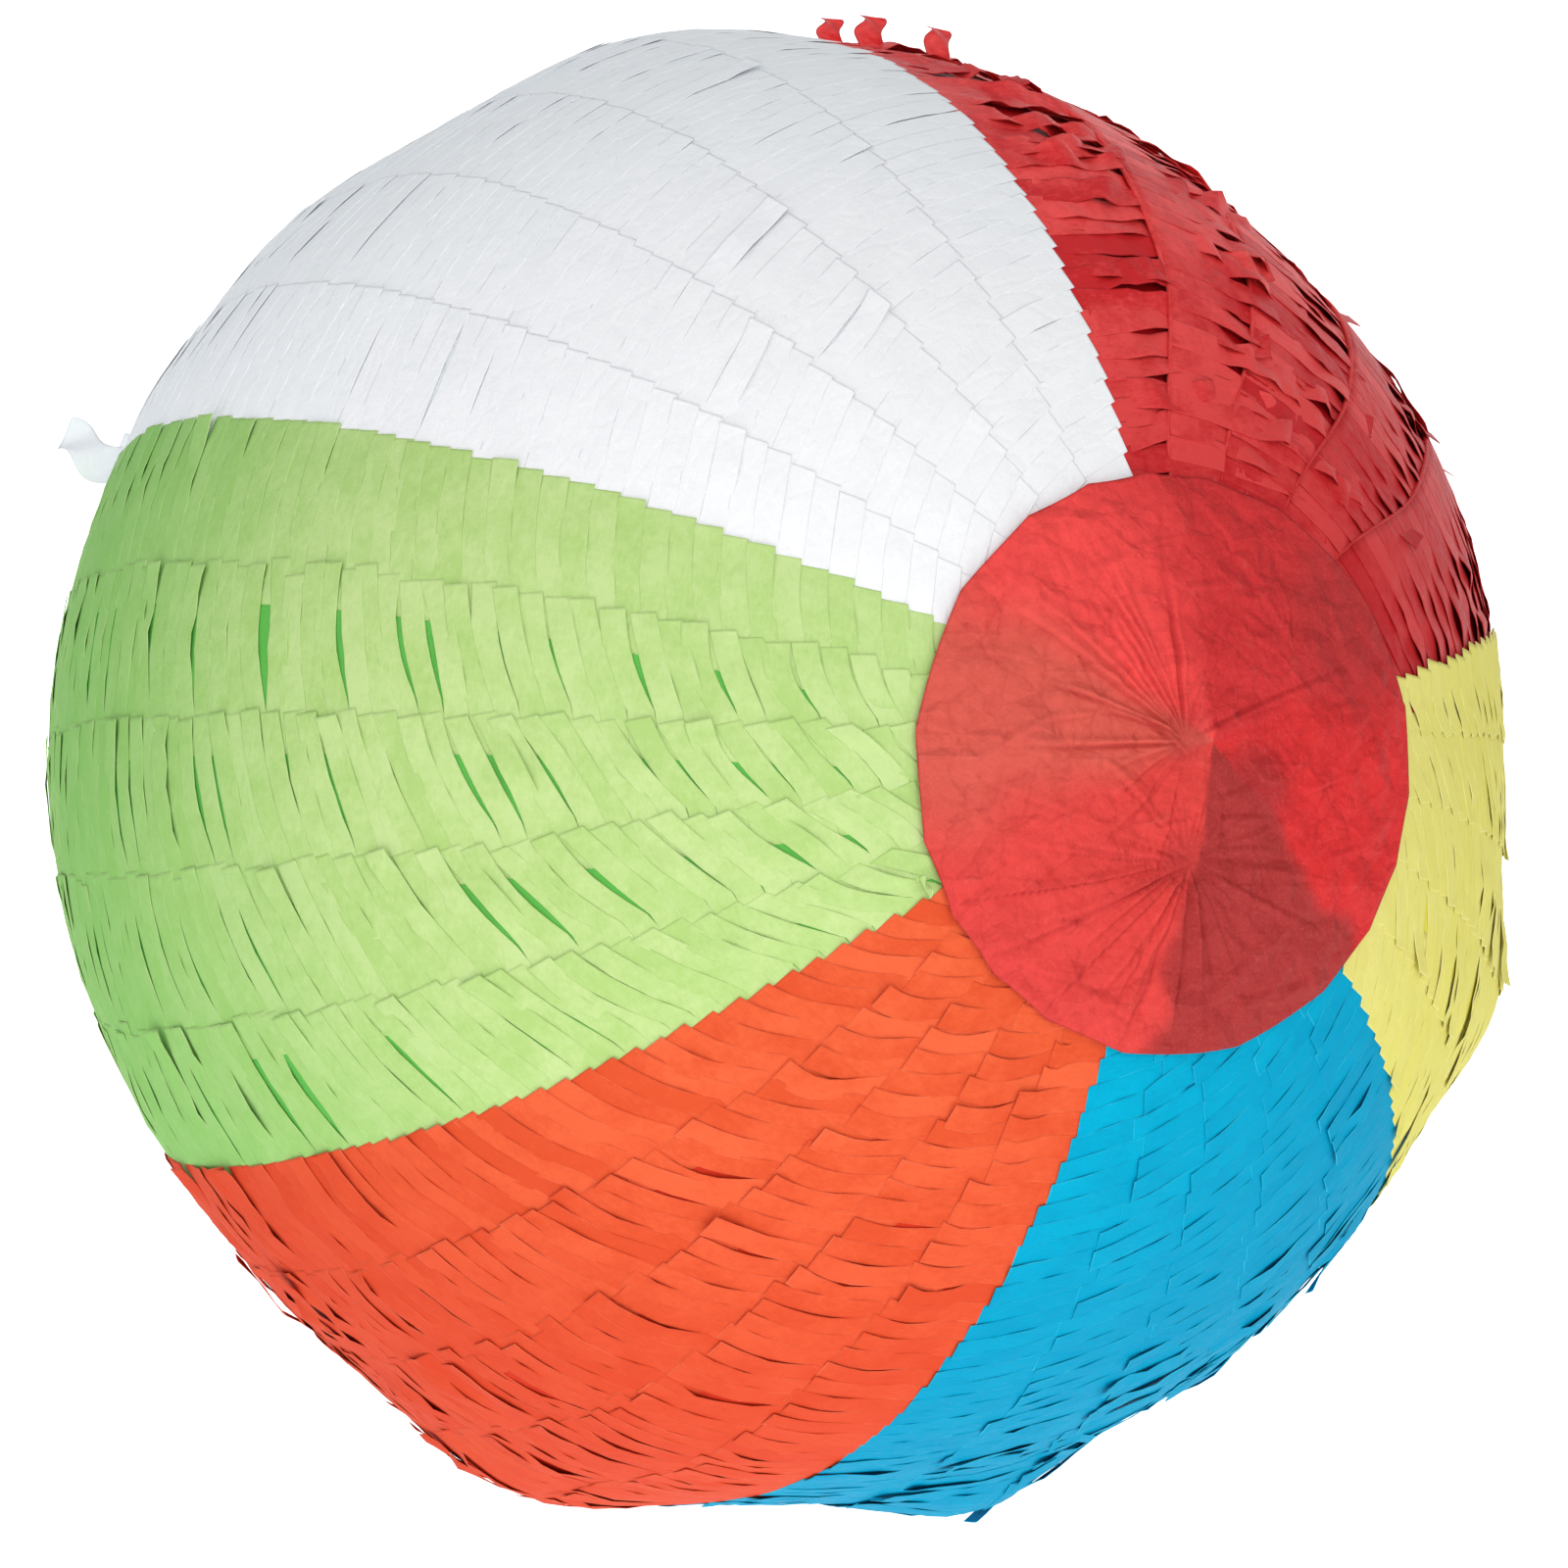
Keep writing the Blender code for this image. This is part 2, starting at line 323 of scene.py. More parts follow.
def bump(tree, shader, height, distance, strength=1.0):
    """Raise the surface by a height of 0 to 1, over a distance in metres."""
    inputs = {"Strength": strength, "Distance": distance, "Height": height}
    set_inputs(tree, shader, {"Normal": add_node(tree, "Bump", inputs).outputs["Normal"]})


# ---------------------------------------------------------------- materials

def tissue(name, painted_shading_colour, body, light, edge, roughness=0.78, shine=0.12):
    """Fringe paper: dye-coloured tissue, blotched and fibrous, with painted highlights on its cut edges,
    darker painted shade lines for the red and white papers.

    The mesh gives each point its place on the flat paper in millimetres, a shade for its
    tooth, from 0 to 1 how near it is to a cut edge, and from 0 to 1 how much painted shade it
    takes, which grows away from one side of the ball and is full on the sheet under the slits;
    for the white paper the painted shading colour is lighter, a painted light.
    """
    material, tree, shader = new_material(name)
    paper, tone = read(tree, "paper", "Vector"), read(tree, "tone")
    blotches = noise(tree, paper, 0.09, detail=2.0)
    fibres = noise(tree, paper, 1.6, detail=4.0, stretch=(1.0, 0.25, 1.0))
    pulp = noise(tree, paper, 0.5, detail=5.0, roughness=0.65)
    grain = sum_of(tree, sum_of(tree, sum_of(tree, blotches, pulp, 0.8), fibres, 0.4), tone, 0.3)
    face = tinted(tree, body, light, grain, 0.85, 1.35, 1.0)
    # painted shade that grows away from one side of the ball, read from the dye attribute; for white it is a
    # painted light
    face_with_painted_shading = tinted(tree, face, painted_shading_colour, read(tree, "dye"), 0.0, 1.0, 0.6)
    # the sheet under the slits takes the painted shading colour in full: painted shade in the slits, painted
    # light for white
    under = mix(tree, ramp(tree, tone, UNDERNEATH, UNDERNEATH + 0.1, 1.0, 0.0), face_with_painted_shading, painted_shading_colour)
    # painted highlight along the cut edges and the fold's ridge, in patches; for red and white, a darker
    # painted shade line between teeth
    painted_edge_light_and_shade = sum_of(tree, read(tree, "edge"), blotches, 1.6)
    crinkle = creases(tree, paper, 0.16, stretch=(1.0, 0.55, 1.0))
    height = sum_of(tree, sum_of(tree, pulp, crinkle, 0.35), fibres, 0.25)
    bump(tree, shader, height, 0.35 * MM, strength=0.55)
    inputs = {
        "Base Color": tinted(tree, under, edge, painted_edge_light_and_shade, 1.35, 2.0, 0.7),
        "Roughness": ramp(tree, pulp, 0.3, 0.7, roughness - 0.1, roughness + 0.1),
        "Specular IOR Level": shine,
    }
    set_inputs(tree, shader, inputs)
    return material


def cap_tissue():
    """The red disc's tissue, through which the gores under it show, with painted shade in its creases and
    round its rim, and painted highlights on its ridges.
    """
    material, tree, shader = new_material("cap_tissue")
    paper = read(tree, "paper", "Vector")
    mottle = noise(tree, paper, 0.45, detail=6.0, roughness=0.7)
    cloud = noise(tree, paper, 0.07, detail=3.0)
    fibres = noise(tree, paper, 1.5, detail=3.0)
    crumple = sum_of(tree, ridges(tree, paper, 0.042), ridges(tree, paper, 0.12), 0.25)
    folded = sum_of(tree, facets(tree, paper, 0.08), facets(tree, paper, 0.21), 0.45)
    # a darker colour for random mottle and for painted shade, and a lighter one for random fibres and
    # painted highlights
    mottle_and_painted_shade, fibre_and_painted_highlight = linear(150, 26, 30), linear(246, 140, 128)
    colour = tinted(tree, read(tree, "showing", "Color"), mottle_and_painted_shade, mottle, 0.4, 0.7, 0.16)
    colour = tinted(tree, colour, mottle_and_painted_shade, cloud, 0.4, 0.75, 0.14)
    colour = tinted(tree, colour, fibre_and_painted_highlight, fibres, 0.5, 0.8, 0.10)
    # painted highlight on the crease ridges; painted shade along the folds, in the crease valleys and round
    # the rim
    colour = tinted(tree, colour, fibre_and_painted_highlight, crumple, 0.75, 1.25, 0.16)
    colour = mix(tree, ramp(tree, folded, 0.0, 0.08, 0.22, 0.0), colour, mottle_and_painted_shade)
    colour = tinted(tree, colour, mottle_and_painted_shade, read(tree, "crease"), 0.1, 0.9, 0.55)
    colour = tinted(tree, colour, mottle_and_painted_shade, read(tree, "edge"), 0.4, 1.0, 0.35)
    bump(tree, shader, sum_of(tree, sum_of(tree, crumple, folded, 1.1), mottle, 0.12), 1.8 * MM)
    gloss = ramp(tree, mottle, 0.3, 0.7, 0.55, 0.75)
    set_inputs(tree, shader, {"Base Color": colour, "Roughness": gloss, "Specular IOR Level": 0.15})
    return material


def papier_mache():
    """Layers of torn grey newsprint and paste, with their layers showing on the cut edges."""
    material, tree, shader = new_material("papier_mache")
    paper = read(tree, "paper", "Vector")
    patches = add_node(tree, "TexVoronoi", {"Scale": 0.035, "Vector": paper}).outputs["Color"]
    pulp = noise(tree, paper, 0.8, detail=5.0, roughness=0.65)
    face = tinted(tree, linear(196, 182, 156), linear(172, 158, 134), patches, 0.0, 1.0, 1.0)
    face = tinted(tree, face, linear(212, 202, 182), pulp, 0.3, 0.75, 0.45)
    layers = noise(tree, read(tree, "layers", "Vector"), 1.0, detail=2.0, stretch=(0.05, 0.05, 2.6))
    exposed = tinted(tree, linear(226, 214, 190), linear(138, 122, 98), layers, 0.4, 0.6, 1.0)
    height = sum_of(tree, sum_of(tree, pulp, creases(tree, paper, 0.035), 0.4), layers, 0.3)
    bump(tree, shader, height, 0.5 * MM, strength=0.7)
    colour = mix(tree, read(tree, "cut"), face, exposed)
    set_inputs(tree, shader, {"Base Color": colour, "Roughness": 0.92, "Specular IOR Level": 0.25})
    return material


def card():
    """Grey-brown packing card, with its fibres and stains."""
    material, tree, shader = new_material("hanger_card")
    position = tree.nodes.new("ShaderNodeTexCoord").outputs["Object"]
    fibres = noise(tree, position, 900.0, detail=5.0, stretch=(1.0, 0.3, 1.0))
    stains = noise(tree, position, 60.0, detail=3.0)
    colour = tinted(tree, linear(146, 116, 82), linear(184, 152, 112), fibres, 0.35, 0.7, 1.0)
    colour = tinted(tree, colour, linear(128, 100, 70), stains, 0.4, 0.8, 0.4)
    bump(tree, shader, fibres, 0.3 * MM, strength=0.6)
    set_inputs(tree, shader, {"Base Color": colour, "Roughness": 0.9})
    return material


def paper_tape():
    """Gummed brown paper tape, cross-grained, a little shiny where the gum has soaked in."""
    material, tree, shader = new_material("paper_tape")
    paper = read(tree, "paper", "Vector")
    fibres = noise(tree, paper, 1.4, detail=5.0, stretch=(0.3, 1.0, 1.0))
    soaked = noise(tree, paper, 0.15, detail=3.0)
    colour = tinted(tree, linear(172, 134, 92), linear(204, 168, 124), fibres, 0.35, 0.7, 1.0)
    colour = tinted(tree, colour, linear(150, 112, 74), soaked, 0.45, 0.75, 0.5)
    bump(tree, shader, fibres, 0.2 * MM, strength=0.6)
    set_inputs(tree, shader, {"Base Color": colour, "Roughness": ramp(tree, soaked, 0.4, 0.7, 0.85, 0.55)})
    return material


# ---------------------------------------------------------------- the fringe

@dataclass
class Fringe:
    """How a row of fringe was cut and glued on. Lengths are in metres, angles in degrees."""

    heights: tuple = (1.3 * MM, 1.42 * MM, 1.58 * MM)  # over the bed: base, middle, tips
    folded: bool = False  # the base is a fold that lies over the tips of the row before
    tucked_tips: bool = False  # the tips lie under the base of the row after
    backing: float = 0.26 * MM  # how far the uncut sheet lies under the teeth
    band: float = 9.0 * MM  # uncut, along the base
    slant: float = 10.0  # of the teeth away from the poles, close to them
    arc: float = 0.0  # sideways, at the middle of all the teeth
    sway: float = 1.0  # shared by neighbouring teeth
    stray: float = 0.25  # of single teeth
    bow: float = 0.18 * MM  # sideways, at the middle of single teeth
    widening: float = 1.06  # of the teeth, so that neighbours overlap
    twist: float = 2.5  # lifts the edge nearer to the -Y pole
    bulge: float = 0.10 * MM  # outwards, at the middle of single teeth
    ripple: float = 0.06 * MM  # of soft creases across single teeth
    tip_bend: float = 1.8
    patchiness: float = 0.25  # of the teeth's shades
    unevenness: float = 0.2 * MM  # of the teeth's lengths
    unruly: float = 0.05  # share of the teeth that are much more untidy
    untucked: float = 0.0  # share of the teeth that are too short to be tucked under
    ragged_base: float = 0.0
    fold_shift: float = 0.0  # of the base line, off the frame's line, as a turn


FRINGES = {
    "white": Fringe(slant=9.0, stray=0.2, bow=0.12 * MM, patchiness=0.15, unruly=0.03),
    "green": Fringe(
        arc=0.7 * MM, sway=1.8, stray=0.7, bow=0.6 * MM, widening=1.0, ripple=0.12 * MM,
        unevenness=0.6 * MM, unruly=0.16,
    ),
    "orange": Fringe(
        arc=1.5 * MM, sway=2.0, stray=0.7, bow=0.3 * MM, twist=5.0, ripple=0.12 * MM,
        patchiness=0.4, unevenness=1.0 * MM, unruly=0.12,
    ),
    "blue": Fringe(
        slant=12.0, sway=1.8, stray=0.5, bow=0.3 * MM, twist=3.0, ripple=0.12 * MM,
        unevenness=1.6 * MM, unruly=0.08,
    ),
    "yellow": Fringe(
        backing=0.2 * MM, slant=34.0, stray=0.5, bow=0.5 * MM, bulge=0.06 * MM,
        ripple=0.10 * MM, unruly=0.12,
    ),
    "red": Fringe(
        heights=(3.0 * MM, 2.2 * MM, 1.2 * MM), folded=True, tucked_tips=True, backing=0.8 * MM,
        band=11.0 * MM, slant=0.0, arc=-0.8 * MM, sway=3.0, stray=1.2, bow=0.4 * MM, widening=1.3,
        twist=9.0, bulge=0.5 * MM, ripple=0.3 * MM, patchiness=0.65, unruly=0.22, untucked=0.2,
    ),
}

ROW_PLACES = np.array((0.0, 0.05, 0.12, 0.21, 0.31, 0.42, 0.53, 0.64, 0.75, 0.85, 0.93, 0.985, 1.0))
LONG_ROW_PLACES = np.append(np.linspace(0.0, 0.985, 22), 1.0)
COLUMN_PLACES = np.array((-1.0, -0.90, -0.45, 0.0, 0.45, 0.90, 1.0))
FINE_PLACES = 60  # rows of a tooth that may have a cord hole
CORDED = 5.0  # degrees to each side of the equator where a tooth may have one
UNRULY = 3.5  # how much more untidy an unruly tooth is
SQUARENESS = 0.15  # of the tips of slanting teeth: 1 is square, and 0 follows the row
LIGHT_TOUCH = 0.12 * MM  # that teeth keep off the backing
MOST_BULGE = 1.6 * MM
MOST_BOW = 1.7 * MM
CURLED = 10.0 * MM  # of a curled tooth, at its tip
MOST_TIP_BEND = 20.0
MOST_TONE = 1.5
FOLD_RADIUS = 0.5 * MM
PRESSED_HEIGHT = 2.4 * MM  # of the fringe under a cap disc
RUFFLED = (  # where the fringe is rumpled: colatitude, turn, radius in degrees, strength
    (55.0, 12.0, 12.5, 1.0),
    (76.0, 8.0, 14.0, 0.6),
    (30.0, 19.0, 9.0, 0.7),
    (88.0, 222.0, 17.0, 0.9),
    (105.0, 200.0, 22.0, 0.7),
    (47.0, 113.0, 13.0, 1.0),
    (58.0, 134.0, 9.0, 1.0),
    (64.0, 148.0, 11.0, 0.9),
    (75.0, 165.0, 13.0, 0.9),
    (86.0, 285.0, 12.0, 0.4),
)


def ruffling(colatitude, turn):
    """How rumpled the fringe is at a place, from 0 to 1."""
    direction = on_ball(colatitude, turn)
    total = 0.0
    for *place, radius, strength in RUFFLED:
        total += strength * math.exp(-((angle_between(direction, on_ball(*place)) / radius) ** 2))
    return min(total, 1.0)


def ripples(rng, along, across):
    """Heights of soft creases over a tooth, about -1 to 1."""
    height = np.zeros_like(along)
    for _ in range(3):
        heading, wave = rng.uniform(-0.9, 0.9), rng.uniform(7.0, 17.0) * MM
        travelled = along * math.cos(heading) + across * math.sin(heading)
        height += np.sin(2 * math.pi * (travelled / wave + rng.uniform()))
    return height / math.sqrt(3)


def curve_through(start, middle, end, along):
    """A quadratic curve from start to end that leans on middle. along runs from 0 to 1."""
    return start * (1 - along) ** 2 + 2 * middle * along * (1 - along) + end * along ** 2


def arc_beside(base_turn, tip_turn, colatitude):
    """The straight distance round the ball from a base line to the meridian of the tips."""
    turn = np.radians(tip_turn - base_turn)
    return BED_RADIUS * np.arctan(np.tan(turn) * np.sin(np.radians(colatitude)))


def turn_for(distance, colatitude):
    """The turn about the Y axis that a distance round the ball makes, in degrees."""
    return np.degrees(distance / (BED_RADIUS * np.sin(np.radians(colatitude))))


def sway_line(rng, count):
    """Smooth random numbers for neighbouring teeth, about -1 to 1."""
    teeth = np.arange(count)
    line = np.zeros(count)
    for length in (9.0, 17.0, 40.0):
        line += np.sin(2 * math.pi * (teeth / length * rng.uniform(0.8, 1.25) + rng.uniform()))
    return line / math.sqrt(3)


def beside_flap(colatitude):
    """1 where rows must follow parallels, to keep clear of the flap's cut, and 0 far from it."""
    middle, half = (FLAP[0] + FLAP[1]) / 2, (FLAP[1] - FLAP[0]) / 2
    return 1 - smoothstep(np.abs(colatitude - middle), half + 6.0, half + 22.0)


def under_cap(colatitude):
    """1 where a cap disc presses the fringe flat, and 0 outside the discs."""
    return 1 - smoothstep(np.minimum(colatitude, 180.0 - colatitude), 21.0, 27.0)


def place_points(colatitude, base_turn, distance, height, parallel):
    """Points at a distance round the ball from a base line, and a height over the bed."""
    start = on_ball(colatitude, base_turn)
    turn = np.radians(base_turn)
    heading = np.stack((np.cos(turn), np.zeros_like(turn), -np.sin(turn)), axis=-1)
    angle = (distance / BED_RADIUS)[..., None]
    straight = np.cos(angle) * start + np.sin(angle) * heading
    along_parallel = on_ball(colatitude, base_turn + turn_for(distance, colatitude))
    share = np.asarray(parallel)[..., None]
    directions = share * along_parallel + (1 - share) * straight
    directions /= np.linalg.norm(directions, axis=-1, keepdims=True)
    radius = (BED_RADIUS + height) * swell(directions)
    return directions * radius[..., None]


def press(height, colatitude, limit=PRESSED_HEIGHT):
    """Heights over the bed, pressed down to a limit under a cap disc."""
    return height + under_cap(colatitude) * (np.minimum(height, limit) - height)


@dataclass
class Row:
    """One length of fringe, from one end of its CAD node to the other."""

    node: str
    colour: str
    fringe: Fringe
    base_turn: float  # where its base line shows
    tip_turn: float  # where its tips show
    seed: int
    limits: tuple = ()  # two colatitudes between which its tips stop short, and at what turn

    def __post_init__(self):
        self.ends = span(self.node)[:2]

    def colatitudes(self, spacing):
        """Colatitudes about a spacing apart, from end to end, as a column."""
        low, high = self.ends
        return np.linspace(low, high, max(3, round((high - low) / spacing)))[:, None]

    def base_line(self, colatitude):
        """The turn of the edge of the base band."""
        if not (self.fringe.folded or self.fringe.ragged_base):
            return self.base_turn - turn_for(OVERLAP, colatitude)
        near_cap = 1 - smoothstep(np.minimum(colatitude, 180 - colatitude), 20.0, 38.0)
        wobble = 0.25 * np.sin(np.radians(colatitude * 9.0 + self.base_turn * 5.0))
        shift = self.fringe.fold_shift + (5.0 * near_cap + wobble) * self.fringe.folded
        return self.base_turn - shift * (1 - beside_flap(colatitude))

    def tip_line(self, colatitude):
        """The turn that the tips reach."""
        tucked = turn_for(OVERLAP, colatitude) if self.fringe.tucked_tips else 0.0
        return self.tip_turn + tucked

    def stops(self, colatitude):
        """Where the tips stop short of their line."""
        if not self.limits:
            return np.zeros_like(colatitude, dtype=bool)
        return (colatitude > self.limits[0] - 1.0) & (colatitude < self.limits[1] + 1.0)


@dataclass
class Tooth:
    """Where a tooth stands and how it is cut. A steady one is held straight, beside a cut."""

    middle: float  # colatitude
    turn: float  # at the middle of its length
    parallel: float  # 1 where it follows its parallel, and 0 where it runs straight
    steady: bool
    length: float
    width: float
    lean: float
    curl: float
    rows: np.ndarray  # places of its points, as shares of its length
    columns: np.ndarray  # and as shares of half its width


def tooth_grid(row, middle):
    """Places of a tooth's points along it and across it."""
    if row.node == "red_fringe_1" and abs(middle - 90.0) < CORDED:
        return np.linspace(0.0, 1.0, FINE_PLACES), np.linspace(-1.0, 1.0, FINE_PLACES // 5)
    return LONG_ROW_PLACES if row.fringe.tucked_tips else ROW_PLACES, COLUMN_PLACES


def cut_teeth(row, rng):
    """The teeth of a row, one after another."""
    fringe = row.fringe
    low, high = row.ends
    count = round(math.radians(high - low) * BALL_RADIUS / TOOTH_WIDTH)
    step = (high - low) / count
    width = math.radians(step) * BED_RADIUS * fringe.widening
    sway = sway_line(rng, count) * fringe.sway
    has_cut_ends = "near" in row.node or "far" in row.node or "flap" in row.node
    for number in range(count):
        middle = low + (number + 0.5) * step
        stopped = row.stops(middle)
        steady = stopped or (has_cut_ends and not 2 <= number < count - 2)
        start = row.base_line(middle)
        end = row.limits[2] if stopped else row.tip_line(middle)
        parallel = beside_flap(middle) if row.colour == "red" else 0.0
        curved = math.radians(end - start) * BED_RADIUS * math.sin(math.radians(middle))
        length = parallel * curved + (1 - parallel) * arc_beside(start, end, middle)
        lean = curl = 0.0
        if not steady:
            lean = sway[number] + fringe.slant * math.cos(math.radians(middle))
            length = fringe.band + (length - fringe.band) / math.cos(math.radians(lean))
            length += rng.normal(0.0, fringe.unevenness)
            if rng.uniform() < fringe.untucked:
                length, curl = length * rng.uniform(0.6, 0.9), rng.uniform(5.0, 35.0)
        grid = tooth_grid(row, middle)
        yield Tooth(middle, (start + end) / 2, parallel, steady, length, width, lean, curl, *grid)


def bend_tooth(tooth, fringe, rng, along, free, mess):
    """How far forward and how far up each point of a tooth goes as it bends near its tip."""
    tip_bend = np.clip(rng.normal(0.0, fringe.tip_bend) * mess, -MOST_TIP_BEND, MOST_TIP_BEND)
    near_tip = np.clip((along - tooth.length + CURLED) / CURLED, 0.0, 1.0)
    bend = np.radians(tip_bend * (not fringe.tucked_tips)) * free ** 4 + np.radians(tooth.curl) * near_tip
    steps = np.diff(along, axis=0, prepend=0.0)
    return np.cumsum(np.cos(bend) * steps, axis=0), np.cumsum(np.sin(bend) * steps, axis=0)


def shape_tooth(tooth, fringe, rng):
    """A tooth with its share of the base band, as a grid of points laid flat.

    Returns each point's distance from the base line, its distance across and its height
    over the bed.
    """
    ruffle = 0.0 if tooth.steady else ruffling(tooth.middle, tooth.turn)
    mess = (UNRULY if rng.uniform() < fringe.unruly + 0.4 * ruffle else 1.0) * (1 + ruffle)
    mess *= not tooth.steady
    grid = (tooth.rows * tooth.length, tooth.columns * tooth.width / 2)
    along, across = np.meshgrid(*grid, indexing="ij")
    free = np.clip((along - fringe.band) / max(tooth.length - fringe.band, MM), 0.0, 1.0)
    middle = np.sin(math.pi * free)
    loose = np.clip(free * 4.0, 0.0, 1.0)
    forward, raised = bend_tooth(tooth, fringe, rng, along, free, mess)
    twist = math.radians(rng.normal(fringe.twist * (1 - ruffle), fringe.twist * 0.3 + 12.0 * ruffle))
    twist = twist * (middle if fringe.tucked_tips else free * (1 - 0.4 * free))
    lie = curve_through(*fringe.heights, along / tooth.length)
    bulge = min(abs(rng.normal(0.0, fringe.bulge)) * mess, MOST_BULGE) * middle ** 2
    crumpled = fringe.ripple * (mess + 1) / 2 * loose * ripples(rng, along, across)
    height = lie + bulge + raised - across * np.sin(twist) + crumpled
    height = np.maximum(height, lie - fringe.backing + LIGHT_TOUCH)
    lean = math.radians(tooth.lean + rng.normal(0.0, fringe.stray) * mess)
    own_bow = np.clip(rng.standard_t(3) * fringe.bow * mess, -MOST_BOW, MOST_BOW)
    beyond = np.maximum(forward - fringe.band, 0.0)
    across = across * np.cos(twist)
    skewed = across * math.sin(lean) * SQUARENESS * loose
    distance = np.minimum(forward, fringe.band) + beyond * math.cos(lean) - skewed
    return distance, across + beyond * math.sin(lean) + (fringe.arc + own_bow) * middle, height


class Sheet:
    """Grids of paper that make one mesh, with what their material reads at each point."""

    def __init__(self, painted_shading_origin=PAINTED_SHADING_ORIGIN):
        self.painted_shading_origin = painted_shading_origin
        self.points, self.faces, self.places = [], [], []
        self.tones, self.edges, self.painted_shadings = [], [], []
        self.count = 0

    def add(self, points, tone, places, edge):
        """Add a grid of points with its shade, its places on the flat paper in mm, and edges."""
        rows, columns = points.shape[:2]
        faces = grid_faces(rows, columns)
        flat_points = points.reshape(-1, 3)
        directions = flat_points / np.linalg.norm(flat_points, axis=1, keepdims=True)
        from_shading_origin = angle_between(directions, on_ball(*self.painted_shading_origin))
        faces = faces[~in_cord_hole(flat_points[faces].mean(axis=1))]
        self.points.append(flat_points)
        self.faces.append(faces + self.count)
        self.tones.append(np.full(rows * columns, tone))
        self.edges.append(np.broadcast_to(edge, (rows, columns)).ravel())
        # painted shading: none near its origin place, full beyond the far end of its ramp
        self.painted_shadings.append(smoothstep(from_shading_origin, *PAINTED_SHADING_RAMP))
        self.places.append(places.reshape(-1, 3))
        self.count += rows * columns

    def finish(self, name, material):
        """The mesh object, with its thickness."""
        faces = np.vstack(self.faces)
        piece = make_piece(name, np.vstack(self.points), faces, MATERIALS[material])
        store(piece, "tone", np.concatenate(self.tones))
        store(piece, "edge", np.concatenate(self.edges))
        # the dye attribute holds each point's share of painted shading
        store(piece, "dye", np.concatenate(self.painted_shadings))
        store(piece, "paper", np.vstack(self.places), "FLOAT_VECTOR")
        thicken(piece, PAPER_THICKNESS)
        return piece


def cut_edges(rows, columns):
    """1 along the sides and the tip of a tooth, and 0 elsewhere."""
    at_side = np.abs(columns)[None, :] >= 1.0
    at_tip = rows[:, None] >= 1.0
    return (at_side | at_tip).astype(float)


def in_cord_hole(points):
    """Which points lie in the two holes that the hanging cord goes through."""
    from_axis = np.hypot(points[..., 0], np.abs(points[..., 1]) - CORD_SPACING / 2)
    return (from_axis < CORD_HOLE_RADIUS) & (points[..., 2] > 0)


def add_backing(sheet, row):
    """The uncut sheet under a row's teeth."""
    fringe = row.fringe
    colatitudes = row.colatitudes(2.0)
    bases, tips = row.base_line(colatitudes), row.tip_line(colatitudes)
    last = tips - turn_for(2.5 * MM if fringe.tucked_tips else OVERLAP - 2.0 * MM, colatitudes)
    if row.limits:
        last = np.where(row.stops(colatitudes), np.minimum(last, row.limits[2] - 0.4), last)
    first = bases + turn_for(2.0 * MM, colatitudes)
    turns = first + (last - first) * np.linspace(0.0, 1.0, 13)
    height = curve_through(*fringe.heights, (turns - bases) / (tips - bases)) - fringe.backing
    height = press(height, colatitudes, PRESSED_HEIGHT - fringe.backing)
    directions = on_ball(*np.broadcast_arrays(colatitudes, turns))
    points = directions * ((BED_RADIUS + height) * swell(directions))[..., None]
    flat = (colatitudes * MM_PER_DEGREE, turns * MM_PER_DEGREE, row.seed * 7.0)
    # its tone gives the sheet the painted shading colour of its tissue
    sheet.add(points, UNDERNEATH, np.stack(np.broadcast_arrays(*flat), axis=-1), 0.0)


def add_fold(sheet, row):
    """The rounded edge of a base band that was folded under before it was glued."""
    colatitudes = row.colatitudes(1.0)
    around = np.radians(np.linspace(0.0, 180.0, 7))[None, :]
    hidden = 3.0 * MM * (around > 3.1)  # the last line of points runs on under the band
    distance = FOLD_RADIUS * (1 - np.sin(around)) + hidden
    height = row.fringe.heights[0] - FOLD_RADIUS * (1 - np.cos(around))
    distance, height, colatitudes = np.broadcast_arrays(distance, height, colatitudes)
    height = height + under_cap(colatitudes) * (PRESSED_HEIGHT - row.fringe.heights[0])
    bases = row.base_line(colatitudes)
    points = place_points(colatitudes, bases, distance, height, beside_flap(colatitudes))
    flat = (colatitudes * MM_PER_DEGREE, distance / MM, row.seed * 7.0)
    places = np.stack(np.broadcast_arrays(*flat), axis=-1)
    # the fold's ridge takes its tissue's painted edge line, and the fold a slightly paler tone, a painted
    # highlight
    sheet.add(points, 0.3, places, 0.35 * np.sin(around) ** 4)


def add_tooth(sheet, row, tooth, number, rng):
    """Lay a tooth on the ball, and add it to its row's sheet."""
    distance, side, height = shape_tooth(tooth, row.fringe, rng)
    ragged = row.fringe.ragged_base * (rng.uniform(-0.5, 0.5) + side / tooth.width)
    distance = distance + FOLD_RADIUS * row.fringe.folded + ragged * (1 - tooth.rows)[:, None]
    colatitudes = tooth.middle + np.degrees(side / BED_RADIUS)
    points = place_points(
        colatitudes, row.base_line(colatitudes), distance, press(height, tooth.middle), tooth.parallel
    )
    flat = (side / MM + tooth.middle * 3.0, distance / MM + row.seed * 60.0, number * 20.0)
    tone = float(np.clip(rng.normal(0.0, row.fringe.patchiness), -MOST_TONE, MOST_TONE))
    places = np.stack(np.broadcast_arrays(*flat), axis=-1)
    sheet.add(points, tone, places, cut_edges(tooth.rows, tooth.columns))


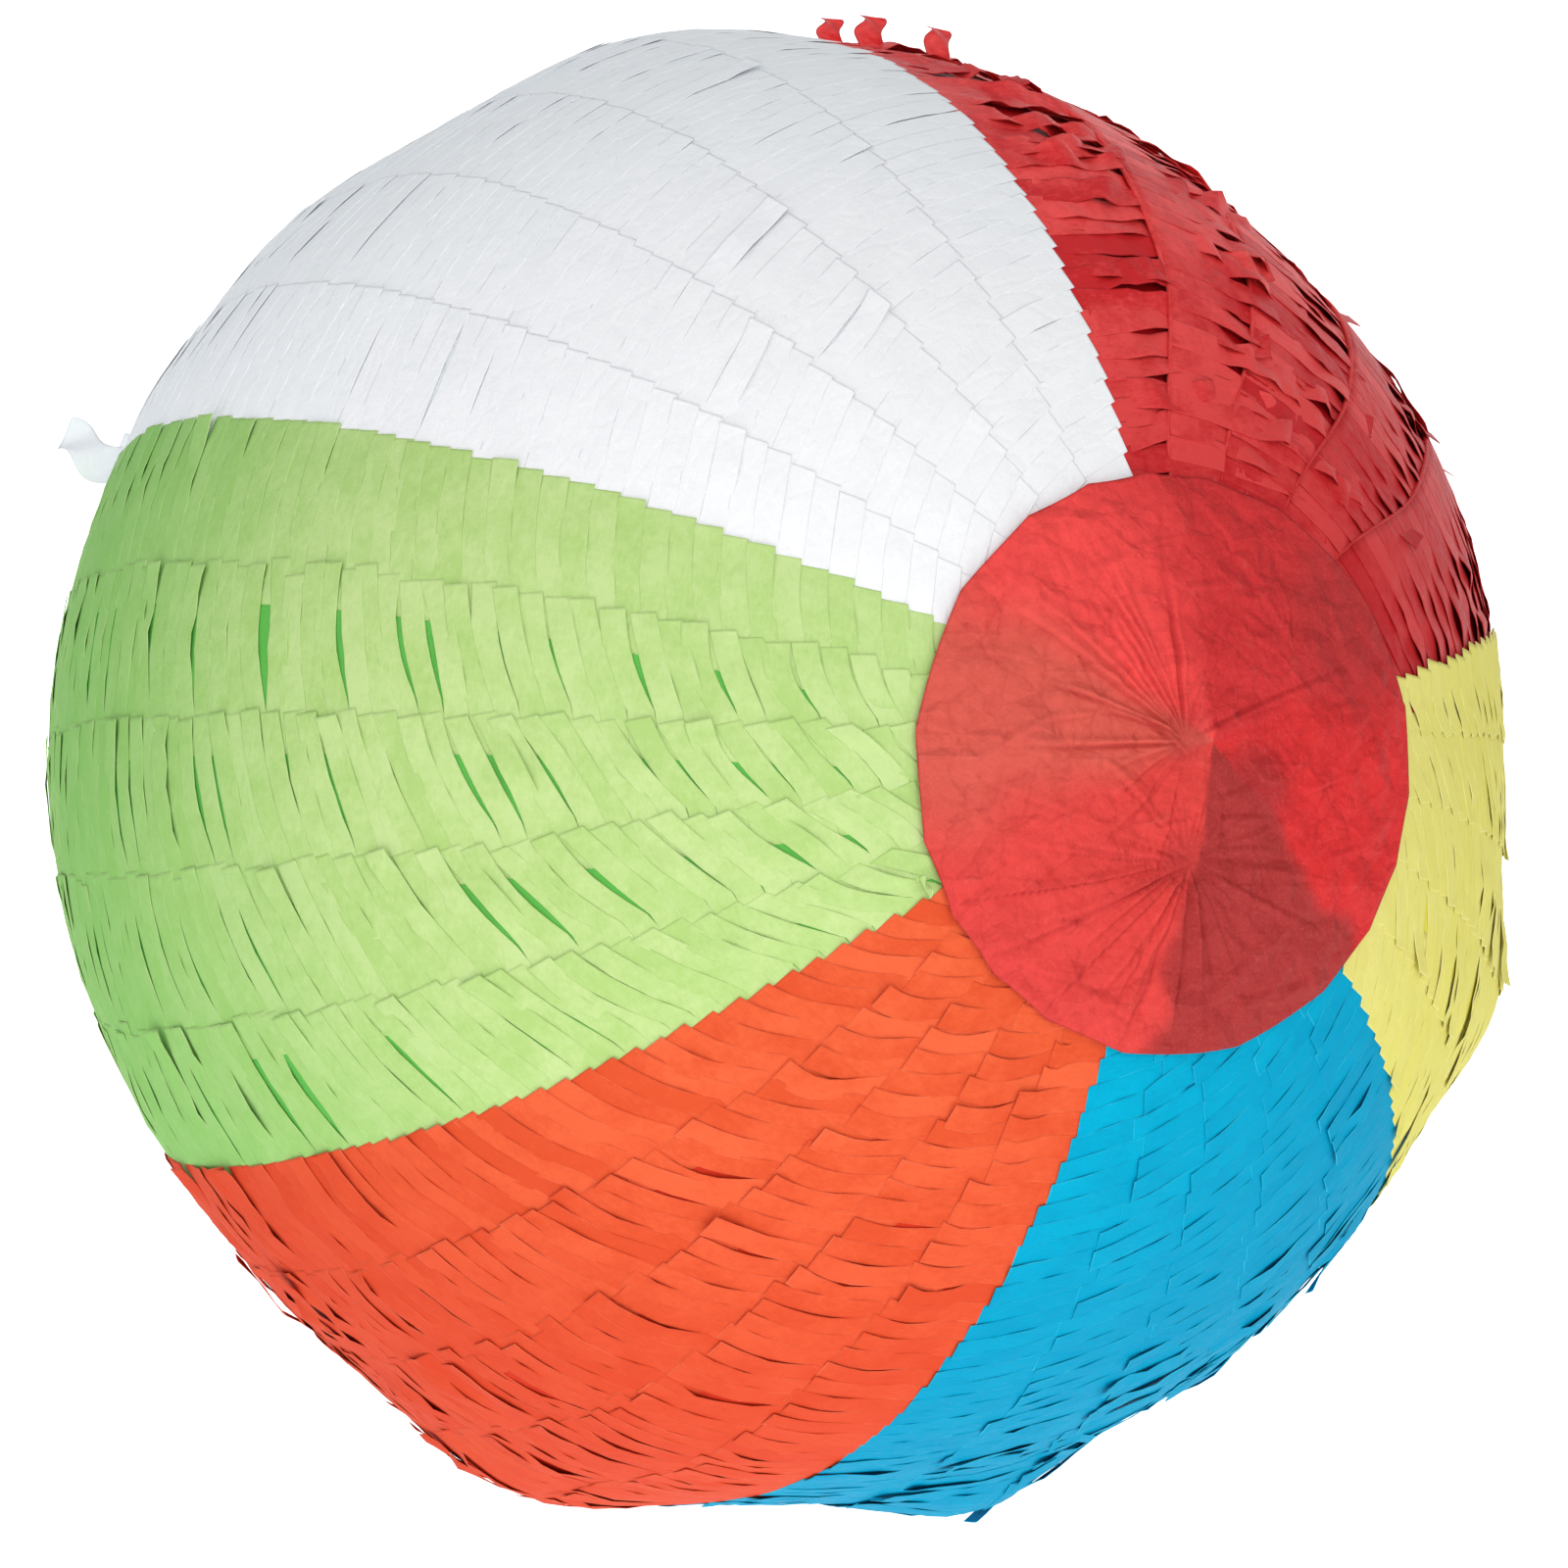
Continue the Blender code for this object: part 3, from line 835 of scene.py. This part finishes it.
def make_strip(row):
    """The paper of one row: its uncut sheet, its teeth and its loose scraps."""
    rng = np.random.default_rng(SEED + row.seed)
    # the red paper's painted shading grows from a place of its own
    sheet = Sheet(RED_PAINTED_SHADING_ORIGIN if row.colour == "red" else PAINTED_SHADING_ORIGIN)
    add_backing(sheet, row)
    if row.fringe.folded:
        add_fold(sheet, row)
    for number, tooth in enumerate(cut_teeth(row, rng)):
        add_tooth(sheet, row, tooth, number, rng)
    for scrap in SCRAPS.get(row.node, ()):
        add_scrap(sheet, *scrap)
    piece = sheet.finish(row.node + "_teeth", row.colour + "_tissue")
    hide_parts(row.node)
    return piece


SCRAPS = {  # loose ends of paper: colatitude, turn, length, width, curl in degrees
    "white_fringe_1": (
        (116.0, 298.0, 18.0 * MM, 10.0 * MM, 20.0),
        (120.0, 300.5, 9.0 * MM, 8.0 * MM, 40.0),
    ),
    "green_fringe_1": ((20.5, 239.0, 3.0 * MM, 4.0 * MM, 0.0),),
    "red_fringe_1": (
        (80.5, -0.5, 8.0 * MM, 6.0 * MM, 60.0),
        (80.0, 2.8, 10.0 * MM, 7.0 * MM, 60.0),
        (80.5, 9.2, 13.0 * MM, 6.5 * MM, 75.0),
    ),
}


def add_scrap(sheet, colatitude, turn, length, width, curl):
    """A loose end of the paper that stands up from the ball and curls over, ruffled."""
    outward, upward = on_ball(colatitude, turn), on_ball(90.0, turn + 90.0)
    aside = np.cross(outward, upward)
    along = np.linspace(0.0, 1.0, 24)[:, None]
    across = np.linspace(-0.5, 0.5, 12)[None, :]
    bend = math.radians(curl) * along
    step = length / len(along)
    height = 1.5 * MM + np.cumsum(np.cos(bend), axis=0) * step
    over = np.cumsum(np.sin(bend), axis=0) * step
    ruffle = np.sin(9.0 * along + 4.0 * across) * (0.4 + along) * 0.12 * width
    droop = 0.25 * along ** 2 + 0.12 * np.sin(7.0 * along + 2.0)
    spread = width * (across * (1 - 0.25 * along * np.sin(5.0 * along + 6.0 * across) ** 2) + droop)
    points = outward * (BED_RADIUS + height)[..., None]
    points = points + upward * spread[..., None] + aside * (ruffle + over)[..., None]
    places = np.stack(np.broadcast_arrays(along * length, across * width, 0.3), axis=-1) / MM
    sheet.add(points, 0.0, places, cut_edges(along[:, 0], across[0] * 2))


GORES = ("red", "yellow", "blue", "orange", "green", "white")
FLAP_ROWS = (2, 3)
SLANTS = {"green": (44.0, 38.0, 30.0, 20.0, 12.0), "orange": (10.0, 16.0, 26.0, 36.0, 42.0)}
NEAT = {"stray": 0.25, "bow": 0.06 * MM, "unevenness": 0.2 * MM, "unruly": 0.0, "widening": 1.08}
ROW_CHANGES = {(colour, STRIPS_PER_GORE): NEAT for colour in GORES if colour != "red"} | {
    ("orange", 1): {"band": 15.0 * MM},
    ("yellow", 1): {
        "heights": (3.0 * MM, 1.6 * MM, 1.8 * MM), "band": 5.0 * MM, "ragged_base": 1.8 * MM
    },
    ("red", 1): {
        "heights": (1.1 * MM, 1.8 * MM, 1.2 * MM), "folded": False, "stray": 0.8, "unruly": 0.2
    },
    ("red", 2): {"fold_shift": 1.8},
    ("red", 3): {"fold_shift": 4.5, "twist": 6.0, "bulge": 0.3 * MM},
    ("red", 4): {"fold_shift": 4.0, "twist": 6.0, "bulge": 0.3 * MM},
    ("red", 5): {
        "fold_shift": 5.0, "twist": 6.0, "bulge": 0.2 * MM, "stray": 0.6, "unruly": 0.04, "untucked": 0.0
    },
}


def row_fringe(colour, number):
    """The fringe of one row, where some rows are glued on in their own way."""
    changes = dict(ROW_CHANGES.get((colour, number), {}))
    if colour in SLANTS:
        changes["slant"] = SLANTS[colour][number - 1]
    return replace(FRINGES[colour], **changes)


def make_fringe():
    """All the rows of all the gores, and the flap's own lengths."""
    for gore, colour in enumerate(GORES):
        for number in range(1, STRIPS_PER_GORE + 1):
            fringe, seed = row_fringe(colour, number), gore * 10 + number
            if colour == "red" and number in FLAP_ROWS:
                make_flap_row(number, fringe, seed)
                continue
            node = f"{colour}_fringe_{number}"
            limits = FLAP[:3] if node == "red_fringe_1" else ()
            strip = make_strip(Row(node, colour, fringe, *span(node)[2:], seed, limits))
            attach(strip, "ball")


def make_flap_row(number, fringe, seed):
    """A red row that the flap interrupts: near and far lengths, and one on the flap."""
    on_flap = f"flap_fringe_{number - FLAP_ROWS[0] + 1}"
    turns = span(on_flap)[2:]
    for extra, end in ((100, "near"), (200, "far")):
        strip = make_strip(Row(f"red_fringe_{number}_{end}", "red", fringe, *turns, seed + extra))
        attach(strip, "ball")
    limits = (*FLAP[:2], CREASE_TURN) if number == FLAP_ROWS[-1] else ()
    strip = make_strip(Row(on_flap, "red", fringe, *turns, seed + 300, limits))
    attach(strip, "flap")


# ---------------------------------------------------------------- shell and flap

def lines(stops, spacings):
    """Evenly spread numbers through all the stops, no further apart than each spacing."""
    parts = [stops[:1]]
    for low, high, spacing in zip(stops, stops[1:], spacings):
        count = max(1, math.ceil((high - low) / spacing))
        parts.append(np.linspace(low, high, count + 1)[1:])
    return np.concatenate(parts)


def wall_points(colatitudes, turns):
    """Outer and inner points of the paper wall over a grid of places, with hand-laid bumps."""
    grid = np.meshgrid(colatitudes, turns, indexing="ij")
    directions = on_ball(*grid)
    rough = 0.12 * MM * waves(directions, 90.0, SEED + 1, count=14)
    outer = directions * ((SHELL_RADIUS + np.minimum(rough, 0.0)) * swell(directions))[..., None]
    inner_rough = 0.35 * MM * waves(directions, 60.0, SEED + 2, count=14)
    inner_radius = SHELL_RADIUS - SHELL_WALL + inner_rough
    inner = directions * (inner_radius * swell(directions))[..., None]
    flat = np.stack((*grid, np.zeros_like(grid[0])), axis=-1) * MM_PER_DEGREE
    return outer, inner, flat


def kept_quads(keep, columns, closed):
    """The corners of the kept faces of a grid, whose last column may join its first."""
    for row in range(keep.shape[0]):
        for column in range(columns if closed else columns - 1):
            if keep[row, column]:
                start, beside = row * columns, (column + 1) % columns
                below = start + columns
                yield start + column, start + beside, below + beside, below + column


def open_edges(quads):
    """The edges that only one face has."""
    edges = set()
    for corners in quads:
        for start, end in zip(corners, corners[1:] + corners[:1]):
            if (end, start) in edges:
                edges.remove((end, start))
            else:
                edges.add((start, end))
    return sorted(edges)


def make_wall(name, colatitudes, turns, keep, closed):
    """A piece of the shell: its two skins, and walls wherever a kept face has no neighbour."""
    rows, columns = len(colatitudes), len(turns)
    outer, inner, flat = wall_points(colatitudes, turns)
    total = rows * columns
    faces, order = [], []
    quads = list(kept_quads(keep, columns, closed))
    for corners in quads:
        faces += [corners, tuple(total + corner for corner in reversed(corners))]
    at_poles = (0, rows - 1) if closed else ()
    for start, end in open_edges(quads):
        if start // columns in at_poles and end // columns in at_poles:
            continue
        first = 2 * total + len(order)
        order += [start, end, total + end, total + start]
        faces.append((first + 3, first + 2, first + 1, first))
    points = np.vstack((outer.reshape(-1, 3), inner.reshape(-1, 3)))
    points = np.vstack((points, points[order]))
    flat = np.vstack((flat.reshape(-1, 3), flat.reshape(-1, 3) + (0.0, 0.0, 40.0)))
    flat = np.vstack((flat, flat[order]))
    piece = make_piece(name, points, faces, MATERIALS["papier_mache"])
    store(piece, "cut", np.arange(len(points)) >= 2 * total)
    store(piece, "paper", flat, "FLOAT_VECTOR")
    store(piece, "layers", layer_places(points), "FLOAT_VECTOR")
    return piece


def layer_places(points):
    """Places along the wall, and through it as the third number, all in millimetres."""
    depth = np.linalg.norm(points, axis=1)
    return np.stack((points[:, 0], points[:, 1] + points[:, 2], depth), axis=1) / MM


POLE = 0.05  # degrees from a pole, where the wall is as good as closed
FINE_STEP = 0.25  # degrees, between the lines that outline the cord holes


def make_shell():
    """The papier-mâché ball with its opening, and the piece of it that opens."""
    first, last, left, right = FLAP
    edge = np.degrees(2 * FLAP_GAP / SHELL_RADIUS)
    edge_turn = float(turn_for(2 * FLAP_GAP, (first + last) / 2))
    hole = (first - edge, last + edge, left - edge_turn, right + edge_turn)
    near_cord = float(turn_for(CORD_SPACING / 2 + 2 * CORD_HOLE_RADIUS, 90.0))
    colatitudes = lines(
        (POLE, 90.0 - near_cord, 90.0 + near_cord, hole[0], hole[1], 180.0 - POLE),
        (2.0, FINE_STEP, 2.0, 2.0, 2.0),
    )
    turns = lines(
        (hole[2], hole[3], 360.0 - near_cord, 360.0 + near_cord, hole[2] + 360.0), (2.0, 2.0, FINE_STEP, 2.0)
    )
    middle_rows = ((colatitudes[:-1] + colatitudes[1:]) / 2)[:, None]
    middle_columns = ((turns[:-1] + turns[1:]) / 2)[None, :]
    in_flap = (middle_rows > hole[0]) & (middle_rows < hole[1]) & (middle_columns < hole[3])
    keep = ~(in_flap | in_cord_hole(on_ball(middle_rows, middle_columns) * SHELL_RADIUS))
    turns = turns[:-1]
    shell = make_wall("paper_shell_wall", colatitudes, turns, keep, closed=True)
    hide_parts("paper_shell")
    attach(shell, "ball")
    flap_rows, flap_columns = lines((first, last), (1.2,)), lines((left, right), (1.2,))
    everything = np.ones((len(flap_rows) - 1, len(flap_columns) - 1), dtype=bool)
    flap = make_wall("fill_flap_wall", flap_rows, flap_columns, everything, closed=False)
    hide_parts("fill_flap")
    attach(flap, "flap")


def make_hinge_tape():
    """The paper tape over the crease, one piece that spans the shell and the flap."""
    first, last, crease, far_edge = span("hinge_tape_on_shell")
    half = far_edge - crease
    rows, columns = lines((first, last), (0.8,)), lines((crease - half, crease + half), (0.4,))
    colatitude, turn = np.meshgrid(rows, columns, indexing="ij")
    radius = reach("hinge_tape_on_shell")
    points = on_ball(colatitude, turn) * radius
    tape = make_piece(
        "hinge_tape",
        points.reshape(-1, 3),
        grid_faces(len(rows), len(columns)),
        MATERIALS["paper_tape"],
    )
    flat = np.stack((colatitude, turn, np.zeros_like(turn)), axis=-1) * MM_PER_DEGREE
    store(tape, "paper", flat, "FLOAT_VECTOR")
    thicken(tape, 0.2 * MM, offset=-1.0)
    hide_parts("hinge_tape_on_shell", "hinge_tape_on_flap")
    middle = (first + last) / 2
    reach_turn = float(turn_for(5.0 * MM, middle))
    start = on_ball(middle, CREASE_TURN + reach_turn) * radius
    end = on_ball(middle, CREASE_TURN - reach_turn) * radius
    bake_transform(tape)


# ---------------------------------------------------------------- cap discs

CAP_SHADES = (  # the turn where each shade under the disc begins, how softly, and its look
    (348.0, 22.0, linear(204, 48, 50)),
    (71.0, 12.0, linear(214, 44, 45)),
    (134.0, 3.0, linear(168, 50, 48)),
    (188.0, 3.0, linear(222, 66, 61)),
    (253.0, 12.0, linear(214, 88, 75)),
    (300.0, 12.0, linear(240, 74, 71)),
)
CAP_MEETING = (2.0 * MM, 4.0 * MM)  # where the gores meet under a disc, from its centre
DARKER_PLACES = (  # darker places on a disc: from its centre, radius, strength
    (12 * MM, -5 * MM, 9 * MM, 0.9),
    # painted shade toward the upper right, beside the red fringe
    (44 * MM, 30 * MM, 20 * MM, 0.7),
    (-4 * MM, 5 * MM, 5 * MM, 0.5),
    (-3 * MM, -19 * MM, 6 * MM, 0.5),
)


@dataclass
class Fan:
    """Creases that spread from one point of a disc: metres, and degrees from the right."""

    centre: tuple
    angles: tuple
    count: int
    length: float
    height: float = 0.7 * MM


NEAR_FANS = (
    Fan((-4 * MM, 4 * MM), (97.0, 150.0), 12, 62 * MM, 0.8 * MM),
    Fan((-4 * MM, 4 * MM), (150.0, 250.0), 10, 40 * MM, 0.6 * MM),
    Fan((-4 * MM, 4 * MM), (10.0, 100.0), 9, 50 * MM, 0.5 * MM),
    Fan((-3 * MM, -19 * MM), (150.0, 290.0), 24, 56 * MM, 0.8 * MM),
    Fan((-3 * MM, -19 * MM), (295.0, 400.0), 12, 40 * MM, 0.5 * MM),
    Fan((-3 * MM, -19 * MM), (50.0, 135.0), 6, 22 * MM, 0.4 * MM),
)
FAR_FANS = (
    Fan((-4 * MM, 6 * MM), (0.0, 340.0), 30, 44 * MM),
    Fan((10 * MM, -18 * MM), (20.0, 330.0), 20, 32 * MM, 0.6 * MM),
)
CRUMPLES = 170  # short creases scattered over a disc


def scattered_creases(rng):
    """Short creases at random places and angles."""
    for _ in range(CRUMPLES):
        place, distance = rng.uniform(0.0, 2 * math.pi), 60 * MM * math.sqrt(rng.uniform())
        angle = rng.uniform(0.0, 360.0)
        centre = (distance * math.cos(place), distance * math.sin(place))
        yield Fan(centre, (angle, angle), 1, rng.uniform(8.0, 26.0) * MM, 0.4 * MM)


def crease_heights(x, y, fans, rng):
    """Ridge heights over a disc, and how close each point is to the bottom of a crease."""
    height, depth = np.zeros_like(x), np.zeros_like(x)
    for fan in (*fans, *scattered_creases(rng)):
        for angle in np.linspace(*fan.angles, fan.count):
            angle = math.radians(angle + rng.normal(0.0, 5.0))
            run = fan.length * rng.uniform(0.45, 1.15)
            width = rng.uniform(0.5, 1.1) * MM
            bow = rng.normal(0.0, 3.0 * MM)
            along = (x - fan.centre[0]) * math.cos(angle) + (y - fan.centre[1]) * math.sin(angle)
            aside = (y - fan.centre[1]) * math.cos(angle) - (x - fan.centre[0]) * math.sin(angle)
            aside = aside - bow * np.clip(along / run, 0.0, 1.5) ** 2
            spread = width * (0.5 + np.clip(along / run, 0.0, 1.0))
            shown = smoothstep(along, 0.0, 7 * MM) * (1 - smoothstep(along, 0.5 * run, run))
            ridge = np.exp(-((aside / spread) ** 2))
            valley = np.exp(-(((aside - 1.2 * spread) / (0.5 * spread)) ** 2))
            size = fan.height * rng.uniform(0.4, 1.0)
            height += size * shown * (ridge - 0.8 * valley)
            depth += shown * valley * size / MM
    return height, np.clip(depth, 0.0, 1.0)


def shade_under(x, y, phase):
    """The disc's colour by what is under it, with the gores' ragged ends blurred together."""
    aside, above = x - CAP_MEETING[0], y - CAP_MEETING[1]
    distance = np.hypot(aside, above)
    turn = np.degrees(np.arctan2(aside, above))
    turn = turn + 2.5 * np.sin(distance / (6 * MM) + phase) + 1.2 * np.sin(distance / (2.6 * MM))
    colours = np.zeros(turn.shape + (4,))
    total = np.zeros(turn.shape)
    for index, (start, softness, colour) in enumerate(CAP_SHADES):
        end, end_softness, _ = CAP_SHADES[(index + 1) % len(CAP_SHADES)]
        half = ((end - start) % 360) / 2
        beside = (turn - (start + half) + 180) % 360 - 180
        share = smoothstep(beside, -half - softness, softness - half)
        share = share * (1 - smoothstep(beside, half - end_softness, half + end_softness))
        colours += share[..., None] * np.array(colour)
        total += share
    colours = colours / np.maximum(total, 0.001)[..., None]
    dark = np.array(CAP_SHADES[2][2])
    # darken the listed darker places; the one toward the upper right is painted shade
    for right, up, radius, strength in DARKER_PLACES:
        share = strength * np.exp(-((np.hypot(x - right, y - up) / radius) ** 4))
        colours = colours + share[..., None] * (np.minimum(colours, dark) - colours)
    return colours


CAP_SPOKES, CAP_RINGS = 420, 92
CAP_SNIPS = 19  # straight scissor cuts round a disc


def disc_grid(limit):
    """Flat places over a disc that was cut by hand: x, y and the share of the way to its rim."""
    spokes = np.linspace(0.0, 2 * math.pi, CAP_SPOKES, endpoint=False)
    snip = 2 * math.pi / CAP_SNIPS
    warped = spokes + 0.12 * np.sin(spokes * 3 + 1.0)
    cut = math.cos(snip / 2) / np.cos(np.mod(warped, snip) - snip / 2)
    rim = math.radians(limit) * SHELL_RADIUS * cut * (1 + 0.015 * np.cos(2 * spokes)) * 0.975
    ring = np.linspace(0.0, 1.0, CAP_RINGS + 1)[1:, None]
    grids = (ring * rim * np.cos(spokes), ring * rim * np.sin(spokes), ring * np.ones(CAP_SPOKES))
    return (np.append(grid.ravel(), 0.0) for grid in grids)


def disc_faces():
    """Faces over rings of points, closed round, with a hub point at the end."""
    faces = grid_faces(CAP_RINGS, CAP_SPOKES).tolist()
    last, hub = CAP_SPOKES - 1, CAP_RINGS * CAP_SPOKES
    for start in range(0, hub - CAP_SPOKES, CAP_SPOKES):
        faces.append((start + last, start, start + CAP_SPOKES, start + CAP_SPOKES + last))
    for spoke in range(CAP_SPOKES):
        faces.append((hub, (spoke + 1) % CAP_SPOKES, spoke))
    return faces


def make_cap(node, fans, seed):
    """A disc of creased tissue glued over a pole."""
    rng = np.random.default_rng(SEED + seed)
    corners = points_of(node)
    centre = corners.mean(axis=0)
    centre /= np.linalg.norm(centre)
    side = np.cross((0.0, 0.0, 1.0), centre)
    side /= np.linalg.norm(side)
    up = np.cross(centre, side)
    limit = angle_between(corners / np.linalg.norm(corners, axis=1)[:, None], centre).max()
    x, y, part = disc_grid(limit)
    angle, place = np.hypot(x, y) / SHELL_RADIUS, np.arctan2(y, x)
    heading = np.cos(place)[:, None] * side + np.sin(place)[:, None] * up
    directions = np.cos(angle)[:, None] * centre + np.sin(angle)[:, None] * heading
    ridged, depth = crease_heights(x, y, fans, rng)
    soft = 0.35 * MM * waves(directions, 120.0, SEED + seed + 1) * smoothstep(1 - part, 0.0, 0.1)
    lie = curve_through(4.0 * MM, 4.0 * MM, 3.1 * MM, part)
    height = lie + soft + ridged * (1 - 0.5 * smoothstep(part, 0.9, 1.0))
    points = directions * ((BED_RADIUS + height) * swell(directions))[:, None]
    cap = make_piece(node + "_tissue", points, disc_faces(), MATERIALS["cap_tissue"])
    seen = x * math.copysign(1, -centre[1])  # the far disc is seen from the other side
    store(cap, "showing", shade_under(seen, y, rng.uniform(0, 6)), "FLOAT_COLOR")
    # the crease valleys and the rim, which the material darkens as painted shade
    store(cap, "crease", depth)
    store(cap, "edge", smoothstep(part, 0.985, 1.0))
    flat = np.stack((x / MM, y / MM, np.full_like(x, seed * 50.0)), axis=-1)
    store(cap, "paper", flat, "FLOAT_VECTOR")
    thicken(cap, PAPER_THICKNESS, offset=1.0)
    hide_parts(node)
    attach(cap, "ball")


# ---------------------------------------------------------------- studio

def make_camera():
    right, up, back = camera_axes()
    camera = bpy.data.objects.new("camera", bpy.data.cameras.new("camera"))
    bpy.context.scene.collection.objects.link(camera)
    camera.data.lens = CAMERA_LENS
    camera.data.dof.use_dof = False
    aim = right * 1.1 * MM - up * 2.2 * MM
    camera.location = back * CAMERA_DISTANCE + aim
    camera.rotation_mode = "QUATERNION"
    camera.rotation_quaternion = Vector(-back).to_track_quat("-Z", "Y")
    bpy.context.scene.camera = camera


def studio_white(glow):
    """White seamless paper, lit a little from within so that it stays white."""
    material, tree, shader = new_material("studio_white")
    position = tree.nodes.new("ShaderNodeTexCoord").outputs["Object"]
    mottle = noise(tree, position, 1.5, detail=2.0)
    colour = tinted(tree, linear(250, 250, 250), linear(253, 253, 253), mottle, 0.3, 0.7, 1.0)
    inputs = {"Base Color": colour, "Roughness": 0.9}
    inputs |= {"Emission Color": (1.0, 1.0, 1.0, 1.0), "Emission Strength": glow}
    set_inputs(tree, shader, inputs)
    return material


FLOOR_DROP = 0.9  # the ball hangs this far above the floor
SWEEP_DISTANCE = 3.0
SWEEP_GLOW = 0.75
BEND_STEPS = 12


def make_studio():
    """A white sweep: a floor that curves up into a backdrop behind the ball."""
    _, _, back = camera_axes()
    bend, width, top = 0.8, 3.5, 3.0
    angles = np.radians(np.linspace(0.0, 90.0, BEND_STEPS + 1))
    curve = zip(SWEEP_DISTANCE - bend + bend * np.sin(angles), bend - bend * np.cos(angles) - FLOOR_DROP)
    profile = [(-SWEEP_DISTANCE, -FLOOR_DROP), *curve, (SWEEP_DISTANCE, top)]
    away = -np.array((back[0], back[1], 0.0)) / math.hypot(back[0], back[1])
    side = np.array((away[1], -away[0], 0.0))
    points = []
    for distance, height in profile:
        for edge in (-width, width):
            points.append(away * distance + side * edge + np.array((0.0, 0.0, height)))
    mesh = bpy.data.meshes.new("studio_sweep")
    mesh.from_pydata([tuple(point) for point in points], [], grid_faces(len(profile), 2).tolist())
    mesh.shade_smooth()
    mesh.materials.append(studio_white(SWEEP_GLOW))
    sweep = bpy.data.objects.new("studio_sweep", mesh)
    bpy.context.scene.collection.objects.link(sweep)
    sweep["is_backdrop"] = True


def add_light(name, place, size, watts, colour):
    """A square soft box that faces the ball."""
    light = bpy.data.lights.new(name, "AREA")
    light.size = size
    light.energy = watts
    light.color = colour
    holder = bpy.data.objects.new(name, light)
    holder.location = place
    holder.rotation_mode = "QUATERNION"
    holder.rotation_quaternion = (-Vector(place)).to_track_quat("-Z", "Y")
    bpy.context.scene.collection.objects.link(holder)


def make_light():
    """Even light from all round, a key by the camera's right shoulder and a fill up left."""
    world = bpy.data.worlds.new("studio")
    world.use_nodes = True
    background = world.node_tree.nodes["Background"]
    set_inputs(world.node_tree, background, {"Color": (0.95, 0.97, 1.0, 1.0), "Strength": 0.40})
    bpy.context.scene.world = world
    right, up, back = camera_axes()
    add_light("key", back * 1.9 + right * 0.45 + up * 0.5, 1.6, 17.0, (1.0, 0.985, 0.96))
    add_light("fill", back * 1.1 - right * 1.3 + up * 1.2, 1.4, 7.5, (0.96, 0.98, 1.0))
    bpy.context.scene.view_settings.view_transform = "Standard"


# ---------------------------------------------------------------- making it all

TISSUES = {  # colours of painted shade (lighter for white: painted light), of the body, of the paler random patches, and of the painted highlight on cut edges, a darker painted shade line for red and white
    "white": ((246, 252, 255), (239, 240, 242), (245, 245, 247), (235, 236, 239)),
    "green": ((96, 182, 78), (174, 206, 122), (194, 218, 146), (204, 228, 158)),
    "orange": ((204, 50, 24), (216, 80, 42), (230, 98, 58), (240, 124, 90)),
    "blue": ((0, 132, 176), (0, 160, 196), (0, 174, 208), (64, 202, 230)),
    "yellow": ((216, 208, 70), (224, 216, 140), (230, 224, 158), (234, 230, 174)),
    "red": ((170, 14, 22), (208, 40, 44), (248, 86, 84), (140, 18, 24)),
}
FINISHES = {"blue": (0.6, 0.03), "red": (0.5, 0.16)}  # roughness and shine, where they differ
MATERIALS = {}
for dye, shades in TISSUES.items():
    colours = [linear(*shade) for shade in shades]
    MATERIALS[dye + "_tissue"] = tissue(dye + "_tissue", *colours, *FINISHES.get(dye, ()))
MATERIALS |= {"cap_tissue": cap_tissue(), "papier_mache": papier_mache(), "paper_tape": paper_tape()}

make_shell()
make_hinge_tape()
make_fringe()
make_cap("near_cap_disc", NEAR_FANS, 60)
make_cap("far_cap_disc", FAR_FANS, 61)
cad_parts["hanger_card"].data.materials[0] = card()
make_camera()
make_studio()
make_light()

boxes = {"cad": CAD_BOX, "visual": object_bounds()}
{name: [list(corner) for corner in box] for name, box in boxes.items()}
